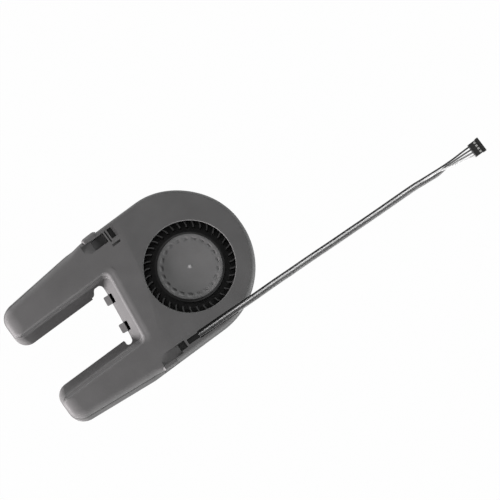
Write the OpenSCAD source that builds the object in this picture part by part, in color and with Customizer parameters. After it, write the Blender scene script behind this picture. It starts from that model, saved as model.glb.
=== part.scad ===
// Flat centrifugal blower: a scroll housing with two duct legs, a motor, an impeller and a lead.
// Sizes in millimetres. The impeller turns about Z at the origin, +X points to the round end,
// the lead leaves along +X on the -Y side, and Z = 0 is the underside of the base tray.

/* [Housing] */
// Width of the base across its straight sides
body_w = 90.6; // [88:0.1:94]
// Height of the housing at the round end
body_h = 20; // [19:0.1:22]
// Height of the parting line between tray and cover
part_z = 11; // [10:0.1:11.5]
// Sideways shift of the housing from the impeller axis
side_shift = 4.2; // [3:0.1:5]
// Radius of the round end, at the base
nose_r = 43.6; // [42:0.1:44.5]
// Distance of the round end's centre behind the impeller axis
nose_back = 4.8; // [4:0.1:6]
// Radius of the flank on the lead side, at the base
flank_r = 46; // [45.5:0.1:48]
// Wall thickness of both shells
wall = 1.8; // [1.5:0.1:2]
// Thickness of the cover's top
top_t = 1.8; // [1.5:0.1:2]
// Thickness of the tray's floor
floor_t = 1.6; // [1.2:0.1:1.8]

/* [Legs] */
// Distance from the impeller axis to the leg ends
leg_reach = 108; // [98:0.5:116]
// Distance from the impeller axis to the start of the legs' taper
leg_root = 56; // [54:0.5:60]
// Taper of each leg's outer side, in degrees
leg_taper = 5.4; // [4:0.1:7]
// Clear width between the legs, at the base
leg_gap = 30.4; // [26:0.1:34]
// Downward slope of the leg tops, in degrees
leg_slope = 3.2; // [2:0.1:3.6]
// Radius of the legs' outer corners in plan
leg_corner_out = 10; // [9:0.5:12]
// Radius of the legs' inner corners in plan
leg_corner_in = 8; // [7:0.5:9]
// Distance from the impeller axis to the wall at the end of the leg gap
notch_reach = 50.2; // [48:0.1:52]
// Skew of that wall, in degrees
notch_skew = 7.2; // [4:0.1:9]
// Radius of the round relief cut at the gap's left corner
relief_r_left = 3.3; // [2.5:0.1:3.6]
// Radius of the round relief cut at the gap's right corner
relief_r_right = 2.2; // [1.8:0.1:2.6]
// Distance from the impeller axis to the crease where the leg tops begin to fall
crease_reach = 27; // [25:0.5:30]
// Skew of the crease, in degrees
crease_skew = 13; // [8:0.5:15]

/* [Edges] */
// Lean of the base skirt at the parting line, round end
skirt_side = 0.5; // [0.3:0.1:0.6]
// Lean of the base skirt at the parting line, outside of the legs
skirt_leg = 1.6; // [1:0.1:2]
// Lean of the base skirt at the parting line, leg ends
skirt_end = 1; // [0.6:0.1:1.4]
// Lean of the skirt at the parting line, inside of the legs
skirt_inner = 4.5; // [3.5:0.1:5]
// Lean of the skirt at the parting line, end of the leg gap
skirt_notch = 5.9; // [5:0.1:6.4]
// Set-back of the cover's edge from the tray's edge outside the legs
cover_step = 0.7; // [0.4:0.1:0.9]
// Rounding of the cover's upper edge at the round end
side_round = 1.8; // [1.2:0.1:2.4]
// Rounding of the cover's upper edge outside the legs
leg_round = 3.8; // [3:0.1:4.4]
// Length of the rounded nose of each leg end
end_round = 8; // [6:0.1:9]
// Width of the soft bevel along the inside of the legs
bevel_inner = 3; // [2:0.1:4]
// Width of the soft bevel above the wall at the end of the gap
bevel_notch = 4; // [3:0.1:5]
// Depth of both bevels
bevel_h = 1.7; // [1:0.1:2]
// Height of the lip that centres the cover in the tray
lip_h = 1.2; // [0.8:0.1:1.6]
// Clearance round the lip, the latches and the hooks
shell_gap = 0.15; // [0.1:0.05:0.25]

/* [Latches] */
// Length of each side latch
latch_l = 10.5; // [9:0.1:12]
// Thickness of each side latch
latch_t = 1.4; // [1.2:0.1:1.8]
// Height of the latch's lower end above the base
latch_z = 3.4; // [2.5:0.1:4]
// Distance of the left latch behind the impeller axis
latch_left = 37.5; // [36:0.1:39]
// Distance of the right latch behind the impeller axis
latch_right = 42.8; // [41:0.1:44]
// Spacing of the two lugs on the wall at the end of the leg gap
lug_pitch = 18.4; // [17:0.1:19]
// Length of a lug along the wall
lug_l = 5.6; // [5:0.1:6.2]
// How far a lug stands out from the wall
lug_out = 3.2; // [2.8:0.1:3.6]

/* [Lead channel and pockets] */
// Distance from the side of the base to the middle of the lead
lead_inset = 6.3; // [6.1:0.1:6.6]
// Width of the lead channel
channel_w = 4.6; // [4.5:0.1:4.8]
// Depth of the lead channel below the cover's top
channel_h = 4.4; // [4:0.1:4.8]
// Skew of the lead channel, in degrees
channel_skew = 2; // [1:0.1:2.5]
// Distance of the exit slot's start behind the impeller axis
slot_back = 26.8; // [26:0.1:27.5]
// Length of the exit slot
slot_l = 7.6; // [7:0.1:8]
// Width of the exit slot
slot_w = 3.2; // [3:0.1:3.4]
// Length of the side pockets
pocket_l = 9; // [8:0.1:9.6]
// Width of the left pockets
pocket_w = 6.3; // [5.6:0.1:6.6]
// Depth of the side pockets
pocket_h = 3.6; // [3:0.1:4.2]
// Length of the ramp at the shallow end of a pocket
pocket_ramp = 4.6; // [3.5:0.1:5.5]
// Distance from the side of the base to the left pockets
pocket_inset = 3.6; // [3.4:0.1:4.4]
// Distance of the rib between the left pockets behind the impeller axis
rib_back = 29.2; // [28:0.1:30]
// Width of that rib
rib_w = 2.7; // [2.4:0.1:3]
// Width of the slot along the rib
rib_slot = 0.8; // [0.6:0.1:1]

/* [Impeller] */
// Diameter of the inlet in the cover
inlet_d = 53.6; // [50:0.2:56]
// Room between the blade ring and the side of the base, on the lead side
wheel_room = 11.1; // [10.8:0.1:12]
// Inner diameter of the blade ring
blade_in_d = 46.6; // [44:0.2:49]
// Number of blades
blades = 37; // [23:1:43]
// Thickness of a blade
blade_t = 0.8; // [0.6:0.05:1]
// Forward sweep of a blade from root to tip, in degrees
blade_sweep = 9; // [4:0.5:14]
// Diameter of the grey hub disc
hub_d = 38.4; // [37.6:0.1:40]
// Depth of the hub disc below the cover's top
hub_recess = 3.4; // [3:0.1:4]
// Number of balance pockets in the hub
hub_pockets = 21; // [12:1:24]
// Radius of the circle of balance pockets
hub_pocket_r = 16.6; // [15:0.1:17.2]

/* [Motor] */
// Shaft diameter
shaft_d = 3; // [2:0.1:3.4]
// Radial running clearance of the shaft in its bearing
bearing_gap = 0.03; // [0.01:0.01:0.08]
// Outer diameter of the sleeve bearing
bearing_d = 6.3; // [5.8:0.1:6.6]
// Wall of the bearing tube
tube_t = 1; // [0.8:0.1:1.2]
// Stator stack height
core_h = 4; // [3:0.1:4.4]
// Stator diameter
core_d = 29.4; // [28:0.1:29.6]
// Number of stator teeth
teeth = 6; // [4:1:6]
// Air gap between stator and magnet
air_gap = 0.45; // [0.35:0.05:0.6]
// Thickness of the magnet ring
magnet_t = 1.6; // [1.2:0.1:1.8]
// Thickness of the steel yoke
yoke_t = 1; // [0.8:0.1:1]
// Thickness of the circuit board
board_t = 1; // [0.8:0.1:1.2]
// Clearance between pieces that are pressed or glued together
seat_gap = 0.03; // [0.02:0.01:0.05]

/* [Lead and connector] */
// Diameter of one wire
wire_d = 1.05; // [0.9:0.05:1.1]
// Spacing of the wires in the lead
wire_pitch = 1.08; // [1.06:0.01:1.12]
// Spacing of the contacts in the connector
contact_pitch = 2; // [1.5:0.1:2.2]
// Length of the connector
connector_l = 7; // [6:0.1:8]
// Height of the connector
connector_h = 4.2; // [4:0.1:5]

/* [Hidden] */
$fn = 64;
eps = 0.01;

// Plan of the housing: the round end is two quarter arcs, whose radii are limited by the width
y_left = side_shift + body_w / 2;
y_right = side_shift - body_w / 2;
lug_h = floor_t + 0.6;
slit_gap = 0.1;
slit_h = 2.4;
relief_lip = 1;
ease_r = 2.4;
latch_rise = 2;
latch_drop = 0.5;
front_flat = 0.4;
round_fit = min(1, (body_w - front_flat) / (nose_r + flank_r));
nose_er = nose_r * round_fit;
flank_er = flank_r * round_fit;
front_x = (nose_er + flank_er) / 2 - nose_back;
nose_c = [front_x - nose_er, y_left - nose_er];
flank_c = [front_x - flank_er, y_right + flank_er];
blend_x = leg_root - 14;
flank_n = 18;
nose_n = 18;
corner_n = 6;
notch_n = 4;
notch_corner_r = 1.5;
least_corner_r = 1;

// Zones of the outline, in this order: round end, outside of a leg, leg end, inside of a leg, gap wall
tray_edge = [skirt_side, skirt_leg, skirt_end, skirt_inner, skirt_notch];
cover_edge = tray_edge + [0.1, cover_step, 0.5, 0, 0];
wall_lean = [0.4, 0.2, 0.6, 1.3, 1.6];
edge_start = cover_edge + wall_lean;
edge_w = [side_round, leg_round, end_round, bevel_inner, bevel_notch];
leg_end_h = top_z(-leg_reach, y_left) - part_z;
edge_h = [side_round, min(leg_round, leg_end_h - 0.2), leg_end_h - 0.2, bevel_h, bevel_h];
cave_w = [for (w = edge_w) max(0.4, w - wall)];
cave_h = [for (h = edge_h) max(0.4, h - top_t)];
fillet_n = 5;
lip_t = 0.9;

// A line of the outline: a point on it, its heading, its zone, with the housing on its left
left_outer = [[-leg_root, y_left], 180 + leg_taper, 1];
left_end = [[-leg_reach, 0], 270, 2];
left_inner = [[0, side_shift + leg_gap / 2], 360, 3];
notch_line = [[-notch_reach, side_shift], 270 - notch_skew, 4];
right_inner = [[0, side_shift - leg_gap / 2], 180, 3];
right_end = [[-leg_reach, 0], 270, 2];
right_outer = [[-leg_root, y_right], 360 - leg_taper, 1];

// Heights inside the housing
hub_top = body_h - hub_recess;
cave_top = body_h - top_t;
hub_t = 1.7;
hub_r = hub_d / 2;
hub_wall = 1.15;
socket_z = 0.8;
seat_r = 6.6;
seat_z = 5.4;
board_z = floor_t + 0.8;
insulator_t = 0.8;
core_z = seat_z + insulator_t;
stator_top = core_z + core_h + insulator_t;
coil_over = 0.7;
tube_r = bearing_d / 2 + tube_t;
tube_top = stator_top + 0.5;
pad_t = 0.7;
bearing_z = socket_z + pad_t + 1.5;
bearing_top = tube_top - 0.6;
yoke_top = hub_top - hub_t - seat_gap;
yoke_r = hub_r - hub_wall - seat_gap;
yoke_z = board_z + board_t + 1.1;
magnet_r = yoke_r - yoke_t - seat_gap;
magnet_in_r = magnet_r - magnet_t;
stator_r = min(core_d / 2, magnet_in_r - air_gap);
magnet_z = yoke_z + 0.4;
magnet_h = stator_top - magnet_z + 0.4;
bush_r = 3.4;
bush_z = tube_top + 0.5;
plate_z = board_z + board_t + 0.5;
plate_t = 1.2;
blade_top = cave_top - 1.5;
board_r = yoke_r - yoke_t - 0.5;
board_in_r = seat_r + 0.6;

// Lead: the middle of the channel at a given x, and the slot where the wires come up
lead_y = y_right + lead_inset;
channel_floor = body_h - channel_h;
slot_x = -slot_back;
slot_end = slot_x + slot_l;
sleeve_top = channel_floor + 2 * wire_d + 0.3;
sleeve_z = channel_floor - 3.6;
slot_rib = 1.4;
bed_t = 1.7;
bed_wall = 1.3;

// Route of the lead's middle line: x, y, z, the spread of the wires there (-1 squeezed in the exit
// sleeve, 0 side by side, 1 fanned out to the contacts) and how far the point follows the exit slot
route = [[-19.7, -35.05, 16.65, -1, 1], [-15.5, -35.2, 16.5, -0.5, 1], [-10, -35.4, 16.15, 0, 1],
    [-2, -35.65, 16.15, 0, 1], [8, -36, 16.15, 0, 1], [18, -36.35, 16.1, 0, 1], [27, -36.55, 14.9, 0, 0.9],
    [36, -36.7, 12.6, 0, 0.7], [46, -37, 9.2, 0, 0.4], [56, -37.2, 5.6, 0, 0.2], [66, -37.5, 2.6, 0, 0],
    [76, -37.9, 0.95, 0, 0], [87, -38.3, 0.6, 0, 0], [105, -39, 0.6, 0, 0], [122, -39.5, 0.6, 0, 0],
    [134, -39.9, 0.6, 0, 0], [141, -40.5, 0.6, 0, 0], [150, -41.25, 0.6, 0, 0], [156.5, -41.7, 0.7, 0.1, 0],
    [163, -42.1, 1, 0.35, 0], [168, -42.5, 1.4, 0.65, 0], [172, -42.9, 1.8, 0.85, 0], [175, -43.2, 2.1, 1, 0]];
// One wire crosses over two others before the contacts: each wire's contact, counted from the left,
// where the crossing starts and ends, the length of its rise and its height
wire_ends = [0, 3, 1, 2];
cross_start = 150;
cross_end = 163;
cross_rise = 9;
cross_lift = wire_d + 0.15;
route_slot = [-19.2, -34.8, 15.6];
squeeze = 0.68;
stagger = 0.45;
connector_y = -43.2;
connector_x = 175;
wire_sides = 8;

// Height of the cover's top above a point of the plan: level round the inlet, falling along the legs
function crease_x(y) = -crease_reach + (y - side_shift) * tan(crease_skew);
function top_z(x, y) = body_h - max(0, (crease_x(y) - x) * cos(crease_skew)) * tan(leg_slope);

// Plan geometry
function polar(c, r, a) = c + r * [cos(a), sin(a)];
function inward(a) = [-sin(a), cos(a)];
function heading(a) = [cos(a), sin(a)];
function cross2(u, v) = u.x * v.y - u.y * v.x;
function meet(p, a, q, b) = p + heading(a) * cross2(q - p, heading(b)) / cross2(heading(a), heading(b));
function inset_point(l, d) = l[0] + inward(l[1]) * d;
function corner_r(r, d, s) = s > 0 ? max(least_corner_r, r - d) : r + 0.3 * d;

// Rounded corner between lines l and m set in by their zones' insets: points as [x, y, zone, zone, share]
function corner(l, m, r0, n, d) =
    let (turn = m[1] - l[1], s = sign(turn), a = d[l[2]], b = d[m[2]], r = corner_r(r0, (a + b) / 2, s))
    let (c = meet(inset_point(l, a + s * r), l[1], inset_point(m, b + s * r), m[1]))
    [for (i = [0:n]) let (p = polar(c, r, l[1] - 90 * s + turn * i / n)) [p.x, p.y, l[2], m[2], i / n]];

// Whole outline set in by d, counter-clockwise from the flank; the crease's ends are points of it
function outline(d) = concat(
    [for (i = [0:flank_n]) let (p = polar(flank_c, flank_er - d[0], -90 + i * 90 / flank_n))
        [p.x, p.y, 0, 0, 0]],
    [for (i = [0:nose_n]) let (p = polar(nose_c, nose_er - d[0], i * 90 / nose_n))
        [p.x, p.y, 0, 0, 0]],
    [[crease_x(y_left - d[0]), y_left - d[0], 0, 0, 0]],
    [[-blend_x, y_left - d[0], 0, 0, 0], [-leg_root, y_left - d[1], 1, 1, 0]],
    corner(left_outer, left_end, leg_corner_out, corner_n, d),
    corner(left_end, left_inner, leg_corner_in, corner_n, d),
    corner(left_inner, notch_line, notch_corner_r, notch_n, d),
    corner(notch_line, right_inner, notch_corner_r, notch_n, d),
    corner(right_inner, right_end, leg_corner_in, corner_n, d),
    corner(right_end, right_outer, leg_corner_out, corner_n, d),
    [[-leg_root, y_right + d[1], 1, 1, 0], [-blend_x, y_right + d[0], 0, 0, 0]],
    [[crease_x(y_right + d[0]), y_right + d[0], 0, 0, 0]]);
crease_i = flank_n + nose_n + 2;
gap_i = crease_i + 3 + 2 * (corner_n + 1) + notch_n;
outline_n = len(outline(tray_edge));
function plan(d) = [for (p = outline(d)) [p.x, p.y]];
function even(d) = [d, d, d, d, d];

// Rings of the shells: at one height, or a drop below the cover's top that changes from zone to zone
function level_ring(d, z) = [for (p = outline(d)) [p.x, p.y, z]];
function drop_ring(d, drop) = [for (p = outline(d))
    [p.x, p.y, top_z(p.x, p.y) - drop[p[2]] * (1 - p[4]) - drop[p[3]] * p[4]]];

// Upper edge of the cover at a quarter turn f: quarter ellipses outside, soft bevels towards the gap
function edge_inset(f) = [for (z = [0:4]) edge_start[z] + edge_w[z] * (z < 3 ? 1 - cos(f) : f / 90)];
function edge_drop(f) = edge_h * (1 - sin(f));
function cave_inset(f) = [for (z = [0:4]) edge_start[z] + wall + cave_w[z] * (z < 3 ? 1 - cos(f) : f / 90)];
function cave_drop(f) = [for (z = [0:4]) top_t + cave_h[z] * (1 - sin(f))];

// Triangles between neighbouring rings of n points each
function band(k, n, next) = [for (i = [0:n - 1]) let (j = (i + 1) % n, a = k * n, b = next * n)
    each [[a + i, a + j, b + j], [a + i, b + j, b + i]]];
function flipped(faces) = [for (f = faces) [for (i = [len(f) - 1:-1:0]) f[i]]];

// Shell that a list of rings closes with flat faces on both sides of the crease, top ring first
module domed_shell(rings) {
    n = outline_n;
    m = len(rings);
    last = (m - 1) * n;
    nose_part = concat([n - 1], [for (i = [0:crease_i]) i]);
    middle = [[crease_i, crease_i + 1, gap_i], [crease_i, gap_i, gap_i + 1], [crease_i, gap_i + 1, n - 1],
        [gap_i + 1, n - 2, n - 1]];
    left_leg = [for (i = [crease_i + 1:gap_i]) i];
    right_leg = [for (i = [gap_i + 1:n - 2]) i];
    top = concat([nose_part, left_leg, right_leg], middle);
    bottom = [for (f = top) [for (i = f) last + i]];
    faces = concat(flipped(top), bottom, [for (k = [0:m - 2]) each band(k, n, k + 1)]);
    polyhedron([for (r = rings) each r], faces);
}

// Closed frame of rings, each joined to the next and the last to the first, going up outside
module ring_frame(rings) {
    m = len(rings);
    faces = flipped([for (k = [0:m - 1]) each band(k, outline_n, (k + 1) % m)]);
    polyhedron([for (r = rings) each r], faces);
}

// Places children on the wall at the end of the gap: local y along the wall, x into the housing
module at_notch(y) {
    translate([-notch_reach, side_shift, 0])
        rotate(-notch_skew)
            translate([0, y, 0])
                children();
}

// Places children at a side latch: local y = 0 on the base's edge, pointing outwards
module at_latches() {
    translate([-latch_left, y_left, 0])
        children();
    translate([-latch_right, y_right, 0])
        mirror([0, 1, 0])
            children();
}

// Places children in the lead channel: local x along it, from the exit slot
module in_channel() {
    translate([slot_x, lead_y, 0])
        rotate(-channel_skew)
            children();
}

// Centred block on a plane: length along x, width along y
module slab(l, w, h) {
    translate([-l / 2, -w / 2, 0])
        cube([l, w, h]);
}

module tube(r, r_in, h) {
    difference() {
        cylinder(r = r, h = h);
        translate([0, 0, -1])
            cylinder(r = r_in, h = h + 2);
    }
}

// Side hook of the tray, a wedge that the latch snaps over
hook_l = latch_l - 4;
hook_z = latch_z + 2;
hook_h = 3;
module latch_hook() {
    out = latch_t * 0.8;
    translate([hook_l / 2 - shell_gap, 0, hook_z])
        rotate([0, -90, 0])
            linear_extrude(hook_l - 2 * shell_gap)
                polygon([[0, -wall], [0, out + shell_gap], [0.6, out + shell_gap], [hook_h, -0.2], [hook_h, -wall]]);
}

// Lower shell: flared skirt open under the legs, floor with the motor seat, hooks and lugs
rebate = cover_edge + even(lip_t - shell_gap);
rebate_z = part_z - lip_h - shell_gap;
floor_back = notch_reach + 5;
relief_over_left = 1.2;
relief_over_right = 2.4;

// Relief at a corner of the gap: a round end past the leg's inside, open towards the gap
module gap_relief(r, over) {
    translate([-r, 0, 0])
        cylinder(r = r, h = part_z - lip_h);
    translate([-2 * r, -over - wall, 0])
        cube([2 * r, over + wall, part_z - lip_h]);
    translate([-2 * r - ease_r, -over - wall, 0])
        linear_extrude(part_z - lip_h)
            difference() {
                square([ease_r + eps, wall + ease_r]);
                translate([0, wall + ease_r])
                    circle(r = ease_r);
            }
}

module base_tray() {
    color("dimgray")
        difference() {
            union() {
                ring_frame([level_ring(even(0), 0), level_ring(tray_edge, part_z), level_ring(rebate, part_z),
                    level_ring(rebate, rebate_z), level_ring(tray_edge * rebate_z / part_z + even(wall), rebate_z),
                    level_ring(even(wall), 0)]);
                linear_extrude(floor_t)
                    intersection() {
                        polygon(plan(even(wall / 2)));
                        translate([-floor_back, y_right])
                            square([floor_back + front_x, body_w]);
                    }
                translate([0, 0, floor_t - eps])
                    cylinder(r = seat_r, h = seat_z - floor_t + eps);
                translate([0, 0, floor_t - eps])
                    tube(board_r - 0.8, board_r - 2, board_z - floor_t + eps);
                at_latches()
                    latch_hook();
                for (y = [-lug_pitch / 2, lug_pitch / 2])
                    at_notch(y)
                        translate([-lug_out, -lug_l / 2, 0])
                            cube([lug_out + wall / 2, lug_l, lug_h]);
            }
            translate([0, 0, socket_z])
                cylinder(r = tube_r + seat_gap, h = seat_z);
            for (y = [-lug_pitch / 2, lug_pitch / 2])
                at_notch(y)
                    translate([0, -lug_l / 2 - slit_gap, lug_h])
                        cube([wall * 2.2, lug_l + 2 * slit_gap, slit_h]);
            at_notch(leg_gap / 2 + relief_over_left)
                translate([0, 0, -relief_lip])
                    gap_relief(relief_r_left, relief_over_left);
            at_notch(-leg_gap / 2 - relief_over_right)
                translate([0, 0, -relief_lip])
                    mirror([0, 1, 0])
                        gap_relief(relief_r_right, relief_over_right);
        }
}

// Side latch of the cover: an arm with a window, hung from the cover's edge
arm_top = part_z + 3.4;
module latch_arm() {
    root = cover_edge[1] + 0.6;
    head_h = arm_top - part_z - shell_gap;
    translate([-latch_l / 2, shell_gap, latch_z])
        difference() {
            cube([latch_l, latch_t, arm_top - latch_drop - latch_z]);
            translate([(latch_l - hook_l) / 2, -1, hook_z - latch_z - shell_gap])
                cube([hook_l, latch_t + 2, hook_h + 2 * shell_gap]);
        }
    translate([latch_l / 2, 0, part_z + shell_gap])
        rotate([0, -90, 0])
            linear_extrude(latch_l)
                polygon([[0, -root], [head_h + latch_rise, -root], [head_h + latch_rise, -latch_t],
                    [head_h - latch_drop, shell_gap + latch_t], [head_h - latch_drop, shell_gap + latch_t / 2],
                    [0, shell_gap + latch_t / 2]]);
}

// Solid beds under the lead channel and the side pockets, inside the cover's wall
bed_z = channel_floor - bed_t;
skin = 0.4;
module channel_bed() {
    translate([0, 0, bed_z])
        linear_extrude(cave_top + skin - bed_z)
            intersection() {
                polygon(plan(even(cover_edge[0] + 0.7)));
                translate([slot_x, lead_y])
                    rotate(-channel_skew)
                        translate([-pocket_l - 4, -lead_inset])
                            square([62, lead_inset + channel_w / 2 + bed_wall]);
            }
}

pocket_y = y_left - pocket_inset;
pocket_x = -rib_back;
pocket_floor = body_h - pocket_h - 0.4;
pocket_low = pocket_floor - bed_t;

// Children's plan in x and z, stood upright and w wide about y
module upright(y, w) {
    translate([0, y + w / 2, 0])
        rotate([90, 0, 0])
            linear_extrude(w)
                children();
}

module pocket_bed() {
    w = pocket_w + 3;
    y = pocket_y - pocket_w / 2;
    x0 = pocket_x - pocket_l - pocket_ramp;
    x1 = pocket_x + rib_w + pocket_ramp + 1;
    fold = min(x1 - 1, crease_x(y));
    upright(y, w)
        polygon([[x0, pocket_low], [x1, pocket_low], [x1, body_h - top_t / 2], [fold, body_h - top_t / 2],
            [x0, top_z(x0, y) - top_t / 2]]);
}

// Left pockets either side of the slotted rib, each with a ramp at its far end, and the groove beside them
groove_w = 1.4;
groove_depth = 1;
module pocket_cuts() {
    y = pocket_y - pocket_w / 2;
    xa = pocket_x - pocket_l;
    xb = pocket_x + rib_w;
    over = body_h + 1;
    upright(y, pocket_w)
        polygon([[pocket_x, pocket_floor], [pocket_x, over], [xa - pocket_ramp, over],
            [xa - pocket_ramp, top_z(xa - pocket_ramp, y)], [xa, top_z(xa, y) - pocket_h * 0.6], [xa, pocket_floor]]);
    upright(y, pocket_w)
        polygon([[xb, pocket_floor], [xb, over], [xb + pocket_ramp, over], [xb + pocket_ramp, body_h]]);
    upright(y - 0.6, pocket_w + 1.2)
        translate([pocket_x + rib_w / 2 - rib_slot / 2, body_h - groove_depth - 0.6])
            square([rib_slot, 4]);
    upright(pocket_y - pocket_w - 3.4, groove_w)
        translate([pocket_x + 0.4, body_h - groove_depth - 0.4])
            square([rib_w + 2.6, 4]);
}

// Inlet with a small rounded mouth
inlet_round = 0.7;
module inlet_cut() {
    r = inlet_d / 2;
    rotate_extrude()
        polygon(concat([[0, cave_top - 2], [r, cave_top - 2], [r, body_h - inlet_round]],
            [for (a = [15:15:90]) [r + inlet_round * (1 - cos(a)), body_h - inlet_round * (1 - sin(a))]],
            [[r + inlet_round, body_h + 1], [0, body_h + 1]]));
}

// Upper shell
module upper_cover() {
    color("gray")
        difference() {
            union() {
                domed_shell(concat(
                    [for (i = [fillet_n:-1:0]) drop_ring(edge_inset(90 * i / fillet_n), edge_drop(90 * i / fillet_n))],
                    [level_ring(cover_edge, part_z), level_ring(cover_edge + even(lip_t), part_z)],
                    [level_ring(cover_edge + even(lip_t), part_z - lip_h)],
                    [level_ring(cover_edge + even(wall), part_z - lip_h)],
                    [for (i = [0:2]) drop_ring(cave_inset(45 * i), cave_drop(45 * i))]));
                channel_bed();
                pocket_bed();
                at_latches()
                    latch_arm();
            }
            inlet_cut();
            in_channel()
                translate([slot_l, -channel_w / 2, channel_floor])
                    cube([60, channel_w, channel_h + 1]);
            in_channel()
                translate([0, -slot_w / 2, 0])
                    cube([slot_l + eps, slot_w, body_h + 1]);
            in_channel()
                upright(0, channel_w)
                    polygon([[-slot_rib, pocket_floor], [-slot_rib, body_h + 1], [-slot_rib - pocket_l - 1, body_h + 1],
                        [-slot_rib - pocket_l - 1, body_h], [-slot_rib - pocket_l + pocket_ramp, pocket_floor]]);
            pocket_cuts();
        }
}

// Bearing
module bearing_tube() {
    color("goldenrod")
        translate([0, 0, socket_z])
            tube(tube_r, bearing_d / 2, tube_top - socket_z);
}

module sleeve_bearing() {
    color("darkgoldenrod")
        translate([0, 0, bearing_z])
            tube(bearing_d / 2 - seat_gap, shaft_d / 2 + bearing_gap, bearing_top - bearing_z);
}

module thrust_pad() {
    color("ivory")
        translate([0, 0, socket_z])
            cylinder(r = bearing_d / 2 - seat_gap, h = pad_t);
}

module oil_seal() {
    color("black")
        translate([0, 0, bearing_top + seat_gap])
            tube(bearing_d / 2 - seat_gap, shaft_d / 2 + 0.12, tube_top - bearing_top - seat_gap);
}

// Plan of the stator: a hub ring, teeth and pole shoes
ring_r = tube_r + 2.4;
tooth_w = 2.6;
shoe_t = 1.4;
shoe_gap = 2.2;
module stator_plan(grow) {
    difference() {
        union() {
            circle(ring_r + grow);
            for (i = [0:teeth - 1])
                rotate(i * 360 / teeth)
                    translate([0, -tooth_w / 2 - grow])
                        square([stator_r - shoe_t / 2, tooth_w + 2 * grow]);
            difference() {
                circle(stator_r);
                circle(stator_r - shoe_t - grow);
                for (i = [0:teeth - 1])
                    rotate((i + 0.5) * 360 / teeth)
                        translate([0, -shoe_gap / 2 + grow])
                            square([stator_r + 1, shoe_gap - 2 * grow]);
            }
        }
        circle(tube_r + seat_gap);
    }
}

module stator_core() {
    color("silver")
        translate([0, 0, core_z])
            linear_extrude(core_h)
                stator_plan(0);
}

module stator_insulator_lower() {
    color("white")
        translate([0, 0, seat_z])
            linear_extrude(insulator_t)
                stator_plan(0.25);
}

module stator_insulator_upper() {
    color("white")
        translate([0, 0, core_z + core_h])
            linear_extrude(insulator_t)
                stator_plan(0.25);
}

// One coil: a rounded frame of wire round each tooth, standing over both insulators
coil_w = 2.1;
coil_from = ring_r + 0.6;
coil_to = stator_r - shoe_t - 0.6;
function round_rect(w, h, r) = [for (c = [[1, 1, 0], [-1, 1, 90], [-1, -1, 180], [1, -1, 270]])
    each [for (a = [0:30:90]) [c.x * (w / 2 - r), c.y * (h / 2 - r)] + r * [cos(a + c.z), sin(a + c.z)]]];
module coil_windings() {
    in_w = tooth_w + 0.6;
    in_h = stator_top - seat_z + 2 * seat_gap;
    color("chocolate")
        for (i = [0:teeth - 1])
            rotate(i * 360 / teeth)
                translate([coil_from, 0, (seat_z + stator_top) / 2])
                    rotate([90, 0, 90])
                        linear_extrude(coil_to - coil_from)
                            difference() {
                                polygon(round_rect(in_w + 2 * coil_w, in_h + 2 * coil_over, coil_over));
                                square([in_w, in_h], center = true);
                            }
}

// Electronics under the rotor
module circuit_board() {
    color("darkgreen")
        translate([0, 0, board_z])
            tube(board_r, board_in_r, board_t);
}

board_top = board_z + board_t;
chip_r = (board_r + board_in_r) / 2;
module driver_chip() {
    color("black")
        rotate(200)
            translate([chip_r, 0, board_top])
                slab(4, 5, 0.85);
}

module hall_sensor() {
    color("black")
        rotate(30)
            translate([board_r - 1.4, 0, board_top])
                slab(1.6, 3, 0.8);
}

module board_passives() {
    color("tan")
        for (a = [60:24:156])
            rotate(a)
                translate([chip_r, 0, board_top])
                    slab(1.2, 2, 0.7);
}

// Wires inside the housing: down from the exit sleeve, then along the floor to the board
inner_x = slot_x + slot_l / 2;
inner_y = lead_y - slot_l / 2 * tan(channel_skew);
inner_z = floor_t + wire_d / 2 + seat_gap;
pad_a = atan2(inner_y, inner_x);
function inner_foot(i) = [inner_x, inner_y] + (i - 1.5) * wire_pitch * [-sin(pad_a), cos(pad_a)];
module inner_lead() {
    run = norm([inner_x, inner_y]) - sqrt(pow(board_r + 0.1, 2) - pow(1.5 * wire_pitch, 2));
    color("dimgray")
        for (i = [0:3])
            translate([inner_foot(i).x, inner_foot(i).y, inner_z]) {
                cylinder(d = wire_d, h = sleeve_z - inner_z);
                sphere(d = wire_d);
                rotate([0, -90, pad_a])
                    cylinder(d = wire_d, h = run);
            }
}

module exit_sleeve() {
    color("black")
        in_channel()
            translate([seat_gap, -slot_w / 2 + seat_gap, sleeve_z])
                cube([slot_l - 2 * seat_gap, slot_w - 2 * seat_gap, sleeve_top - sleeve_z]);
}

// Lead: a tube swept along the route, i-th wire counted from the left
function unit(v) = v / norm(v);
function spread(v) = wire_pitch + (v < 0 ? v * (wire_pitch - squeeze) : v * (contact_pitch - wire_pitch));
function crossed(x) = min(1, max(0, (x - cross_start) / (cross_end - cross_start)));
function raised(x) = max(0, min(1, (x - cross_start) / cross_rise + 1, (cross_end - x) / cross_rise + 1));
function lane(i, x) = i + (wire_ends[i] - i) * crossed(x);
function wire_path(i) = [for (p = route)
    [p.x, p.y + (1.5 - lane(i, p.x)) * spread(p[3]), p.z + (i % 2 == 0 ? 1 : -1) * stagger * sqrt(max(0, -p[3]))
        + (wire_ends[i] > i ? cross_lift * raised(p.x) : 0)]
        + p[4] * ([slot_end, lead_y, channel_floor] - route_slot)];
function tangent(p, k) = unit(p[min(k + 1, len(p) - 1)] - p[max(k - 1, 0)]);
function wire_ring(c, t) = let (s = unit(cross([0, 0, 1], t)), u = cross(t, s))
    [for (a = [0:wire_sides - 1]) c + wire_d / 2 * (cos(a * 360 / wire_sides) * s + sin(a * 360 / wire_sides) * u)];
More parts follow.
